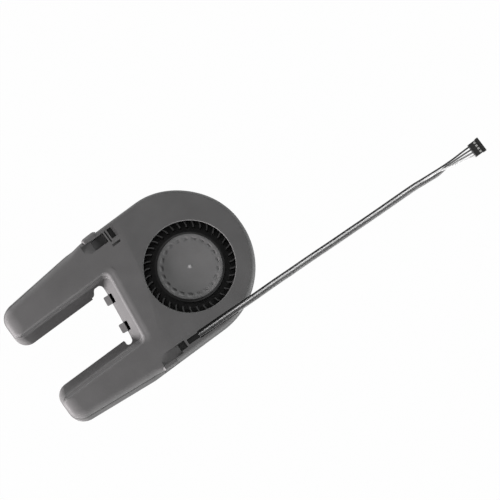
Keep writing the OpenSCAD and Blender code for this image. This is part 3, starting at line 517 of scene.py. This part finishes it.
def turn_rings(r, z, angles):
    """Rings about Z: each radius carried round by the angles, at a height for each ring or each point."""
    x, y = np.outer(r, np.cos(angles)), np.outer(r, np.sin(angles))
    return np.stack([x, y, np.broadcast_to(z, x.shape)], axis=-1).reshape(-1, 3)


def hub_shell():
    """Cup turned about Z: rings over the top, round the rim, down the wall and back inside. The top rings
    are lowered by a row of soft dents and raised by the nub at the centre, both flat bell curves."""
    low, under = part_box("hub_cap")[0][2] / MM, HUB_TOP - HUB_T
    steps = DENT_POINTS * DENTS
    angles = np.linspace(0, 2 * math.pi, steps, endpoint=False)
    along = DENT_R * (((angles + DENT_TURN) * DENTS / math.pi + 1) % 2 - 1) * math.pi / DENTS
    top_r = np.linspace(HUB_EYE, HUB_R - HUB_ROUND, HUB_RINGS)
    rim = HUB_ROUND * (1 - rot(RIM_ANGLES))
    r = np.concatenate([top_r, HUB_R - rim[:, 0], [HUB_R, HUB_R - HUB_WALL, HUB_R - HUB_WALL, HUB_EYE]])
    level = np.concatenate([np.full(HUB_RINGS, HUB_TOP), HUB_TOP - rim[:, 1], [low, low, under, under]])
    dent = DENT_H * np.exp(-((top_r[:, None] - DENT_R) / DENT_WIDE) ** 4 - (along / DENT_LONG) ** 4)
    z = np.repeat(level[:, None], steps, axis=1)
    z[:HUB_RINGS] += NUB_H * np.exp(-(top_r[:, None] / NUB_R) ** 4) - dent
    ring = np.arange(steps)
    caps = [ring.tolist(), ((len(r) - 1) * steps + ring)[::-1].tolist()]
    return add_mesh("hub_shell", turn_rings(r, z, angles), caps + loft_faces(len(r), steps))


def gate_mark_and_painted_highlight(mat, plain, bright):
    """Pale spot where the mould's gate was cut off, lightened further as a painted highlight: the skin's base
    tone rises towards the axis, by a smooth step over the distance from it across Z."""
    tree = mat.node_tree
    tex, flat = tree.nodes.new("ShaderNodeTexCoord"), tree.nodes.new("ShaderNodeMapping")
    far_out, near_in = tree.nodes.new("ShaderNodeVectorMath"), tree.nodes.new("ShaderNodeMapRange")
    flat.inputs["Scale"].default_value = (1.0, 1.0, 0.0)
    far_out.operation = "LENGTH"
    near_in.interpolation_type = "SMOOTHSTEP"
    near_in.inputs["From Min"].default_value = GATE_IN * MM
    near_in.inputs["From Max"].default_value = GATE_OUT * MM
    near_in.inputs["To Min"].default_value = bright
    near_in.inputs["To Max"].default_value = plain
    skin = next(n for n in tree.nodes if n.type == "GROUP")
    tree.links.new(tex.outputs["Object"], flat.inputs["Vector"])
    tree.links.new(flat.outputs["Vector"], far_out.inputs[0])
    tree.links.new(far_out.outputs["Value"], near_in.inputs["Value"])
    tree.links.new(near_in.outputs["Result"], skin.inputs["Base"])
    return mat


hub_plastic = moulded("hub_plastic", HUB_TONE, grain=5200.0, depth=0.00003, rough=0.6, specular=0.12)
# the hub's colour carries a pale centre spot: the gate mark with a painted highlight on it
hub = shade(hub_shell(), gate_mark_and_painted_highlight(hub_plastic, HUB_TONE, GATE_AND_HIGHLIGHT_TONE), 40.0)
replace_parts(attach(hub, "rotor"), "hub_cap")

# Upper cover: the top shell, moulded in the same plastic as the tray with a finer grain, set into its rim
# and held by two latches. Its edge is a quarter ellipse outside and a soft bevel towards the gap; inlet,
# pockets and lead channel are cut into it.
TOP_T, LEG_SLOPE = 1.8, 3.2


def top_z(x, y):
    """Height of the cover's top: level up to the crease, then a plane falling along the legs."""
    away = (crease_x(y) - x) * math.cos(math.radians(CREASE_SKEW))
    return BODY_H - np.maximum(0.0, away) * math.tan(math.radians(LEG_SLOPE))


def drop_ring(d, drop):
    """Outline set in by d, a drop below the cover's top that changes from zone to zone."""
    o = outline(d)
    first, second, share = o[:, 2].astype(int), o[:, 3].astype(int), o[:, 4]
    below = drop[first] * (1 - share) + drop[second] * share
    return np.column_stack([o[:, :2], top_z(o[:, 0], o[:, 1]) - below])


END_WALL = 1.2
END_DROP = float(top_z(-LEG_REACH, Y_LEFT)) - PART_Z - END_WALL
# each zone's upper edge: inset where the top is flat, inset at the wall, depth of the rounding, its crown
EDGES = np.array([
    (2.8, 1.0, 1.8, 0.0), (6.3, 2.5, END_DROP, 0.0), (10.1, 2.1, END_DROP, 0.0),
    (9.4, 6.6, 2.4, 0.12), (12.0, 6.5, 2.2, 0.45), (10.9, 8.1, 2.4, 0.12),
])
EDGE_STEPS, INNER_STEPS = 18, 5
CROWN_TURN, CROWN_END, INNER_DROP = 0.42, 0.3, 0.6
# the ledge below the edge on a leg's inside: inset and drop of each step down to the wall, how much
# wider it is on the right leg, and how far the other zones' wall falls with each step
LEDGE = ((6.45, 2.7), (6.25, 2.95), (5.6, 3.05), (5.2, 3.25), (5.0, 3.7))
LEDGE_WIDER, WALL_FALL = 1.1, 0.06
# the foot of the wall: height of the shadow groove over the tray's rim, its depth and its eased edge
GROOVE, GROOVE_IN, GROOVE_EASE, GROOVE_EASE_H, LIP_IN = 0.35, 0.6, 0.12, 0.25, 0.4


def edge_ring(s, inner=False):
    """Ring of the cover's upper edge at share s of its profile, from the flat top to the wall: a quarter
    ellipse, with a shallow crown before it where the zone has one. The inner ring is a wall inside."""
    flat, foot, depth, crown = EDGES.T
    crowned = crown > 0
    turn = np.where(crowned, foot + CROWN_TURN * (flat - foot), flat)
    f = np.where(crowned, (s - CROWN_END) / (1 - CROWN_END), s) * math.pi / 2
    inset = foot + (turn - foot) * (1 - np.sin(f))
    drop = crown + (depth - crown) * (1 - np.cos(f))
    if s < CROWN_END:
        u = s / CROWN_END
        inset = np.where(crowned, flat + u * (turn - flat), inset)
        drop = np.where(crowned, crown * u * u, drop)
    if inner:
        inset, drop = inset + WALL, drop * INNER_DROP + TOP_T
    return drop_ring(inset, drop)


def ledge_ring(k):
    """Ring of the k-th step of the ledge: on the legs' insides its own inset and drop, elsewhere the wall."""
    inset, drop = EDGES[:, 1].copy(), EDGES[:, 2] + WALL_FALL * (k + 1)
    insides = [LEFT_INSIDE, RIGHT_INSIDE]
    inset[insides] = LEDGE[k][0] + np.array([0.0, LEDGE_WIDER])
    drop[insides] = LEDGE[k][1]
    return drop_ring(inset, drop)


lip = WALL_FOOT + LIP_T + LIP_IN
groove_z = PART_Z + GROOVE
cover_rings = [
    *[edge_ring(s) for s in np.linspace(0.0, 1.0, EDGE_STEPS)],
    *[ledge_ring(k) for k in range(len(LEDGE))],
    level_ring(WALL_FOOT, groove_z + GROOVE_EASE_H),
    level_ring(WALL_FOOT + GROOVE_EASE, groove_z),
    level_ring(WALL_FOOT + GROOVE_IN, groove_z),
    level_ring(WALL_FOOT + GROOVE_IN, PART_Z),
    level_ring(lip, PART_Z),
    level_ring(lip, PART_Z - LIP_H),
    level_ring(WALL_FOOT + WALL, PART_Z - LIP_H),
    *[edge_ring(s, True) for s in np.linspace(1.0, 0.0, INNER_STEPS)],
]
# the top is closed by the round end, one face for each leg and the plane between the crease and the gap;
# these are the outline's places of the crease's left end and the gap's left corner
crease_i = 2 * (ROUND_N + 1)
gap_i = crease_i + 1 + BLEND_N + 2 * (CORNER_N + 1) + NOTCH_N + 1
last = (len(cover_rings) - 1) * ring_n
caps = [
    [ring_n - 1, *range(crease_i + 1)],
    list(range(crease_i + 1, gap_i + 1)),
    list(range(gap_i + 1, ring_n - 1)),
    [crease_i, crease_i + 1, gap_i, gap_i + 1, ring_n - 2, ring_n - 1],
]
inner_caps = [[last + i for i in cap][::-1] for cap in caps]
cover_faces = caps + inner_caps + loft_faces(len(cover_rings), ring_n)
cover = add_mesh("cover_shell", np.vstack(cover_rings), cover_faces)

# under the top: beds that carry the lead channel and the side pocket
CAVE_TOP, CUT_TOP = BODY_H - TOP_T, BODY_H + CUT_PAST
LEAD_Y, CHANNEL_W, CHANNEL_H, CHANNEL_SKEW, CHANNEL_END = Y_RIGHT + 6.3, 4.6, 4.4, 2.0, 70.0
CHANNEL_FLOOR = BODY_H - CHANNEL_H
SLOT_X, SLOT_L, SLOT_W, SLOT_LAP, SLOT_Z, SLOT_R = -26.8, 7.6, 3.2, 0.5, 5.0, 0.3
POCKET_X, POCKET_L, POCKET_W, POCKET_IN, RAMP, RIB_W = -29.2, 9.0, 6.3, 3.6, 4.6, 2.7
POCKET_FLOOR = BODY_H - 4.0
BED_T, BED_WALL, BED_INSET, SKIN_T = 1.7, 1.3, 0.7, 0.4
BED_BACK, BED_END, BED_OUT, BED_R, BED_LOW, BED_HIGH = POCKET_L + 4.0, 49.0, 7.0, 0.4, 5.0, 25.0
POCKET_BED_BACK, POCKET_BED_FORE, POCKET_BED_MORE = 2.9, 5.6, 3.0


def in_channel(plan):
    """Plan measured from the exit slot along the skewed lead channel."""
    return turned(np.asarray(plan, float), -CHANNEL_SKEW, (SLOT_X, LEAD_Y))


bed_outline = outline(EVEN * (COVER_EDGE[ROUND_END] + BED_INSET))[:, :2]
bed = prism("channel_bed", bed_outline, CHANNEL_FLOOR - BED_T, CAVE_TOP + SKIN_T)
bed_plan = rounded_plan(-BED_BACK, BED_END, -BED_OUT, CHANNEL_W / 2 + BED_WALL, BED_R)
combine(bed, [prism("keep", in_channel(bed_plan), BED_LOW, BED_HIGH)], "INTERSECT")
far, near, mid = POCKET_X - POCKET_L, POCKET_X + RIB_W, Y_LEFT - POCKET_IN - POCKET_W / 2
bed_far, bed_near = far - POCKET_BED_BACK, near + POCKET_BED_FORE
bed_low, bed_high = POCKET_FLOOR - BED_T, CAVE_TOP + SKIN_T
bed_profile = [(bed_far, bed_high), (bed_far, bed_low), (bed_near, bed_low), (bed_near, bed_high)]
pocket_bed = upright("pocket_bed", bed_profile, mid, POCKET_W + POCKET_BED_MORE)
combine(cover, [bed, pocket_bed], "UNION")

# through the top: inlet with a rounded edge, lead channel, pockets that fade out along the legs, the rib's
# slot, a scored line beside it and the latches' seats
INLET_R, INLET_ROUND, INLET_LOW, INLET_FLARE, INLET_STEPS = 26.8, 0.5, 2.0, 0.4, 160
INLET_ANGLES = np.linspace(15, 90, 6)
LEAD_POCKET_NEAR, LEAD_POCKET_FAR = -1.4, -6.0
LEAD_FADE = ((-19.0, -3.6, 0.35), (-5.5, -3.6, 1.9), (-5.5, 2.3, 1.2), (-19.0, 2.3, -0.35))
FADE_L, FADE_LAP, FADE_OUT, FADE_DEPTHS = 6.4, 0.5, 0.4, (-0.35, 0.75, 1.6, 0.5)
POCKET_LIP, POCKET_EASE = 0.6, 0.5
SHELF_FOOT, SHELF_X, SHELF_DEEP, SHELF_SHALLOW = 3.4, 3.0, 0.8, 0.6
RIB_SLOT_FAR, RIB_SLOT_NEAR, RIB_SLOT_FLOOR, RIB_SLOT_MORE = -28.25, -27.45, 18.4, 1.2
RIB_EASE, RIB_EASE_H = 0.45, 0.5
SCORE_FAR, SCORE_NEAR, SCORE_EASE, SCORE_FLOOR, SCORE_Y, SCORE_W = -28.8, -23.2, 0.3, 18.6, 36.2, 1.4
LATCH_IN, SEAT_Z, SEAT_OUT = 2.8, 15.2, 4.0


def revolve(name, profile, steps):
    """Closed solid of revolution about Z: the profile's points, from bottom to top, turned full circle."""
    r, z = np.asarray(profile).T
    angles = np.linspace(0, 2 * math.pi, steps, endpoint=False)
    ring = np.arange(steps)
    ends = [ring[::-1].tolist(), ((len(r) - 1) * steps + ring).tolist()]
    sides = [f[::-1] for f in loft_faces(len(r), steps)]
    return add_mesh(name, turn_rings(r, z[:, None], angles), ends + sides)


def fade(name, plan, depths):
    """Shallow cut whose floor is a plane, at a depth below the cover's top at each corner of its plan."""
    plan = np.asarray(plan, float)
    return prism(name, plan, top_z(plan[:, 0], plan[:, 1]) - np.asarray(depths), CUT_TOP)


inlet_edge = [INLET_R, BODY_H] + INLET_ROUND * (1 - rot(INLET_ANGLES)) * [1, -1]
inlet_profile = np.vstack([
    (INLET_R, CAVE_TOP - INLET_LOW), (INLET_R, BODY_H - INLET_ROUND), inlet_edge,
    (INLET_R + INLET_ROUND + INLET_FLARE, CUT_TOP),
])
channel_plan = rounded_plan(SLOT_L, CHANNEL_END, -CHANNEL_W / 2, CHANNEL_W / 2, SLOT_R)
slot_plan = rounded_plan(0, SLOT_L + SLOT_LAP, -SLOT_W / 2, SLOT_W / 2, SLOT_R)
lead_pocket = [(LEAD_POCKET_NEAR, POCKET_FLOOR), (LEAD_POCKET_NEAR, CUT_TOP),
               (LEAD_POCKET_FAR, CUT_TOP), (LEAD_POCKET_FAR, POCKET_FLOOR)]
lead_fade = np.array(LEAD_FADE)
pocket_a = [(POCKET_X, POCKET_FLOOR), (POCKET_X, BODY_H - POCKET_LIP), (POCKET_X + POCKET_EASE, CUT_TOP),
            (far, CUT_TOP), (far, POCKET_FLOOR)]
fade_y0, fade_y1 = mid - POCKET_W / 2, mid + POCKET_W / 2 + FADE_OUT
fade_plan = [(far - FADE_L, fade_y0), (far + FADE_LAP, fade_y0), (far + FADE_LAP, fade_y1),
             (far - FADE_L, fade_y1)]
pocket_b = [(near, POCKET_FLOOR), (near, CUT_TOP), (near + RAMP, CUT_TOP),
            (near + RAMP, BODY_H - SHELF_SHALLOW), (near + SHELF_X, BODY_H - SHELF_DEEP),
            (near + SHELF_FOOT, POCKET_FLOOR)]
rib_slot = [(RIB_SLOT_FAR, RIB_SLOT_FLOOR), (RIB_SLOT_FAR, CUT_TOP), (RIB_SLOT_NEAR + RIB_EASE, CUT_TOP),
            (RIB_SLOT_NEAR, BODY_H - RIB_EASE_H), (RIB_SLOT_NEAR, RIB_SLOT_FLOOR)]
score = [(SCORE_FAR, SCORE_FLOOR), (SCORE_FAR, CUT_TOP), (SCORE_NEAR - SCORE_EASE, CUT_TOP),
         (SCORE_NEAR, SCORE_FLOOR)]
cuts = [
    revolve("inlet", inlet_profile, INLET_STEPS),
    prism("channel", in_channel(channel_plan), CHANNEL_FLOOR, CUT_TOP),
    prism("slot", in_channel(slot_plan), SLOT_Z, CUT_TOP),
    upright("lead_pocket", lead_pocket, 0, CHANNEL_W, in_channel),
    fade("lead_fade", in_channel(lead_fade[:, :2]), lead_fade[:, 2]),
    upright("pocket_a", pocket_a, mid, POCKET_W),
    fade("pocket_fade", fade_plan, FADE_DEPTHS),
    upright("pocket_b", pocket_b, mid, POCKET_W),
    upright("rib_slot", rib_slot, mid - RIB_SLOT_MORE / 2, POCKET_W + RIB_SLOT_MORE),
    upright("score", score, SCORE_Y, SCORE_W),
]
for x, y, out, proud in LATCHES:
    y0, y1 = sorted((y - out * LATCH_IN, y + out * SEAT_OUT))
    cuts.append(box("latch_seat", x - LATCH_L / 2, x + LATCH_L / 2, y0, y1, SEAT_Z, CUT_TOP, SHARP_R))
combine(cover, cuts, "DIFFERENCE")

# the latches: a thin arm with a window for the tray's hook, hanging from a rounded root in the cover
ARM_TOP, ARM_R, WINDOW_PAST = groove_z + 0.3, 0.35, 1.0
# a latch's root, end to end: place along it, height over the cover's top, and how far its outer face
# stands back; then its section's crown inside, its rounding outside, and the room round it
LATCH_ROWS = ((-1.0, -1.3, 1.0), (-0.93, -0.7, 0.5), (-0.72, 0.25, 0.15), (0.0, 0.4, 0.0), (0.72, 0.5, 0.0),
              (0.92, 0.4, 0.4), (1.0, 0.1, 1.0))
ROOT_CROWN, ROOT_ROUND = (1.5, 0.05), ((0.7, 0.7), (0.15, 1.5), (0.0, 2.4))
ROOT_ROOM, ROOT_BACK = 0.02, 0.03


def root_section(x, y, out, proud, row):
    """Section of a latch's root across the wall: flat inside, rounded over at the outer face."""
    place, rise, back = row
    top = min(float(top_z(x, y)) + rise, BODY_H)
    inner, outer = ROOT_ROOM - LATCH_IN, proud - ROOT_BACK - back
    across = np.array([
        (inner, groove_z), (inner, top), (inner + ROOT_CROWN[0], top - ROOT_CROWN[1]),
        *[(outer - v, top - z) for v, z in ROOT_ROUND], (outer, groove_z),
    ])
    at_x = np.full(len(across), x + place * (LATCH_L / 2 - ROOT_ROOM))
    return np.column_stack([at_x, y + out * across[:, 0], across[:, 1]])


latches = []
for x, y, out, proud in LATCHES:
    y0, y1 = sorted((y + out * (proud - LATCH_T), y + out * proud))
    arm = box("latch", x - LATCH_L / 2, x + LATCH_L / 2, y0, y1, LATCH_Z, ARM_TOP, ARM_R)
    low, high = HOOK_Z - SHELL_GAP, HOOK_Z + HOOK_H + SHELL_GAP
    window = box("window", x - HOOK_L / 2, x + HOOK_L / 2, y0 - WINDOW_PAST, y1 + WINDOW_PAST, low, high)
    combine(arm, [window], "DIFFERENCE")
    sections = [root_section(x, y, out, proud, row) for row in LATCH_ROWS]
    n = len(sections[0])
    start = list(range(n))
    end = [(len(sections) - 1) * n + i for i in start][::-1]
    faces = [start, end, *loft_faces(len(sections), n)]
    root = add_mesh("latch_root", np.vstack(sections), faces if out > 0 else [f[::-1] for f in faces])
    latches += [arm, root]
merge(cover, latches)
cover_plastic = moulded("cover_plastic", 0.118, grain=5200.0, depth=0.00003, rough=0.58, specular=0.17)
shade(cover, cover_plastic, 24.0)
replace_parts(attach(cover, "housing"), "upper_cover")

# Lead: four insulated wires out of a black rubber sleeve in the cover's slot, side by side to the
# connector, where one has crossed over and they fan out. Each is a round tube along its own smooth
# route; the sleeve is a CAD solid.
paint_plastics({"exit_sleeve": (0.006, 0.5)})
# the lead's middle line: x, y, z and the wires' spread (-1 squeezed, 0 side by side, 1 fanned out)
ROUTE = np.array([
    (-19.7, -35.05, 16.65, -1), (-15.5, -35.2, 16.5, -0.5), (-10, -35.4, 16.15, 0), (-2, -35.65, 16.15, 0),
    (8, -36, 16.15, 0), (18, -36.35, 16.1, 0), (27, -36.55, 14.9, 0), (36, -36.7, 12.6, 0),
    (46, -37, 9.2, 0), (56, -37.2, 5.6, 0), (66, -37.5, 2.6, 0), (76, -37.9, 0.95, 0), (87, -38.3, 0.6, 0),
    (105, -39, 0.6, 0), (122, -39.5, 0.6, 0), (134, -39.9, 0.6, 0), (141, -40.5, 0.6, 0),
    (150, -41.25, 0.6, 0), (156.5, -41.7, 0.7, 0.0), (163, -42.1, 1, 0.14), (168, -42.5, 1.4, 0.48),
    (172, -42.9, 1.8, 0.8), (175, -43.2, 2.1, 1),
])
# each wire's contact counted from the left, where the crossing starts and ends, where the others have
# closed up, how long the crossing wire takes to rise and how high it goes
WIRE_ENDS = (0, 3, 1, 2)
CROSS_START, CROSS_END, CLOSE_END, CROSS_RISE, CROSS_LIFT = 150.0, 163.0, 157.0, 9.0, 1.2
WIRE_D, WIRE_PITCH, CONTACT_PITCH, SQUEEZE, STAGGER = 1.05, 1.08, 2.0, 0.68, 0.45
WIRE_CLEAR, PATH_STEPS, TUBE_ROUND = 0.02, 8, 5
# each wire's tone and roughness
WIRES = (
    ("wire_black", 0.03, 0.4), ("wire_white", 0.8, 0.42), ("wire_dark_grey", 0.13, 0.42),
    ("wire_grey", 0.28, 0.42),
)


def wire_points(i):
    """Route of the i-th wire from the left: the lead's middle line moved sideways by the wires' spread; the
    wire that changes sides is lifted over the others there."""
    x, v = ROUTE[:, 0], ROUTE[:, 3]
    crosses = WIRE_ENDS[i] > i
    there = CROSS_END if crosses else CLOSE_END
    lane = i + (WIRE_ENDS[i] - i) * np.clip((x - CROSS_START) / (there - CROSS_START), 0, 1)
    rise = np.clip(np.minimum(x - CROSS_START, CROSS_END - x) / CROSS_RISE + 1, 0, 1)
    spread = WIRE_PITCH + np.where(v < 0, v * (WIRE_PITCH - SQUEEZE), v * (CONTACT_PITCH - WIRE_PITCH))
    lift = (1 if i % 2 == 0 else -1) * STAGGER * np.sqrt(np.maximum(0, -v))
    lift = lift + (CROSS_LIFT if crosses else 0.0) * rise
    middle = (len(WIRES) - 1) / 2
    return np.column_stack([x, ROUTE[:, 1] + (middle - lane) * spread, ROUTE[:, 2] + lift])


def smooth_path(points):
    """Catmull-Rom curve through the points: between two of them a cubic set by them and their neighbours."""
    p = np.vstack([2 * points[0] - points[1], points, 2 * points[-1] - points[-2]])
    a, b, c, d = (p[i:len(p) - 3 + i, None] for i in range(4))
    t = np.linspace(0, 1, PATH_STEPS, endpoint=False)[:, None]
    square, cube = (2 * a - 5 * b + 4 * c - d) * t ** 2, (3 * b - a - 3 * c + d) * t ** 3
    path = 0.5 * (2 * b + (c - a) * t + square + cube)
    return np.vstack([path.reshape(-1, 3), points[-1]])


def place_curve(name, points, diameter):
    """Round tube along points in millimetres."""
    curve = bpy.data.curves.new(name, "CURVE")
    curve.dimensions = "3D"
    curve.bevel_depth = diameter / 2 * MM
    curve.bevel_resolution = TUBE_ROUND
    curve.use_fill_caps = True
    spline = curve.splines.new("POLY")
    spline.points.add(len(points) - 1)
    spline.points.foreach_set("co", np.column_stack([points * MM, np.ones(len(points))]).ravel())
    spline.use_smooth = True
    obj = bpy.data.objects.new(name, curve)
    bpy.context.scene.collection.objects.link(obj)
    return obj


for i, (name, tone, rough) in enumerate(WIRES):
    path = smooth_path(wire_points(i))
    path[:, 2] = np.maximum(path[:, 2], WIRE_D / 2 + WIRE_CLEAR)
    wire = place_curve(name + "_cord", path, WIRE_D)
    wire.data.materials.append(moulded(name, tone, grain=9000.0, depth=0.000002, rough=rough))
    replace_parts(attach(wire, "housing"), name)

# Connector: a black nylon housing with four tinned contacts that are crimped on the wires and clicked
# into it. Both are CAD solids.
paint_plastics({"connector_housing": (0.010, 0.42)})
paint_metals({"crimp_terminals": ((0.78, 0.78, 0.76), 0.28)})

# Stage: a plain floor under the fan, which the camera and mirror-like surfaces see as white and which
# keeps a trace of the shadow.
STAGE_TONE, STAGE_ROUGH, STAGE_WHITE, STAGE_HALF, STAGE_Z = 0.35, 0.9, 0.985, 1500.0, -0.05
stage_mat = bpy.data.materials.new("stage_white")
stage_mat.use_nodes = True
tree = stage_mat.node_tree
matt = tree.nodes["Principled BSDF"]
matt.inputs["Base Color"].default_value = (STAGE_TONE, STAGE_TONE, STAGE_TONE, 1)
matt.inputs["Roughness"].default_value = STAGE_ROUGH
glow, seen, pick = (tree.nodes.new("ShaderNode" + k) for k in ("Emission", "LightPath", "MixShader"))
either, more, most = (tree.nodes.new("ShaderNodeMath") for _ in range(3))
either.operation, more.operation, most.operation = "MAXIMUM", "MAXIMUM", "MULTIPLY"
most.inputs[1].default_value = STAGE_WHITE
tree.links.new(seen.outputs["Is Camera Ray"], either.inputs[0])
tree.links.new(seen.outputs["Is Glossy Ray"], either.inputs[1])
tree.links.new(either.outputs["Value"], more.inputs[0])
tree.links.new(seen.outputs["Is Transmission Ray"], more.inputs[1])
tree.links.new(more.outputs["Value"], most.inputs[0])
tree.links.new(most.outputs["Value"], pick.inputs["Fac"])
tree.links.new(matt.outputs["BSDF"], pick.inputs[1])
tree.links.new(glow.outputs["Emission"], pick.inputs[2])
tree.links.new(pick.outputs["Shader"], tree.nodes["Material Output"].inputs["Surface"])
stage_corners = STAGE_HALF * np.array([(-1, -1), (1, -1), (1, 1), (-1, 1)])
stage = add_mesh("stage_floor", np.column_stack([stage_corners, np.full(4, STAGE_Z)]), [(0, 1, 2, 3)])
stage.data.materials.append(stage_mat)

# Lights: low soft boxes at the leg end and along both sides, a higher one at the round end, a weak one
# overhead, and a faint white world. All aim at the housing.
WORLD_LIGHT = 0.04
HOUSING_MIDDLE = Vector((-30.0, 4.0, 8.0)) * MM
world = bpy.data.worlds.new("studio")
bpy.context.scene.world = world
world.use_nodes = True
world.node_tree.nodes["Background"].inputs["Color"].default_value = (1, 1, 1, 1)
world.node_tree.nodes["Background"].inputs["Strength"].default_value = WORLD_LIGHT


def softbox(name, at, size, power, tint=(1.0, 1.0, 1.0)):
    """Area light, so wide and so high, at a point in millimetres and aimed at the housing."""
    light = bpy.data.lights.new(name, "AREA")
    light.shape = "RECTANGLE"
    light.size, light.size_y = size[0] * MM, size[1] * MM
    light.energy, light.color = power, tint
    obj = bpy.data.objects.new(name, light)
    bpy.context.scene.collection.objects.link(obj)
    obj.location = Vector(at) * MM
    aim = HOUSING_MIDDLE - obj.location
    obj.rotation_euler = aim.to_track_quat("-Z", "Y").to_euler()


softbox("end_light", (-700, 0, 84), (240, 170), 14.0, (1.0, 0.95, 0.965))
softbox("lead_side_light", (-40, -700, 60), (500, 90), 4.6)
softbox("far_side_light", (-40, 700, 90), (500, 160), 3.1)
softbox("round_end_light", (650, 0, 330), (500, 250), 3.8)
softbox("overhead_fill", (-20, 0, 900), (700, 700), 0.95)

# Camera: a metre away and almost straight above, turned so that the lead runs to the upper right. The
# lens takes in a set width at the point that it aims at.
AZIMUTH, ELEVATION, DISTANCE, WIDTH_SEEN, SENSOR = -36.5, 86.0, 1000.0, 290.0, 36.0
CLIP_NEAR, CLIP_FAR = 0.05, 10.0
TARGET = Vector((33.79, -13.13, 18.67)) * MM
round_c, round_s = rot(AZIMUTH)
up_c, up_s = rot(ELEVATION)
back = Vector((round_s * up_c, -round_c * up_c, up_s))
right = Vector((round_c, round_s, 0.0))
up = back.cross(right)
camera = bpy.data.cameras.new("camera")
camera.sensor_width = SENSOR
camera.lens = SENSOR * DISTANCE / WIDTH_SEEN
camera.clip_start, camera.clip_end = CLIP_NEAR, CLIP_FAR
eye = bpy.data.objects.new("camera", camera)
bpy.context.scene.collection.objects.link(eye)
spot = TARGET + back * DISTANCE * MM
eye.matrix_world = Matrix(((right.x, up.x, back.x, spot.x), (right.y, up.y, back.y, spot.y),
                           (right.z, up.z, back.z, spot.z), (0, 0, 0, 1)))
bpy.context.scene.camera = eye
bpy.context.scene.view_settings.view_transform = "Standard"
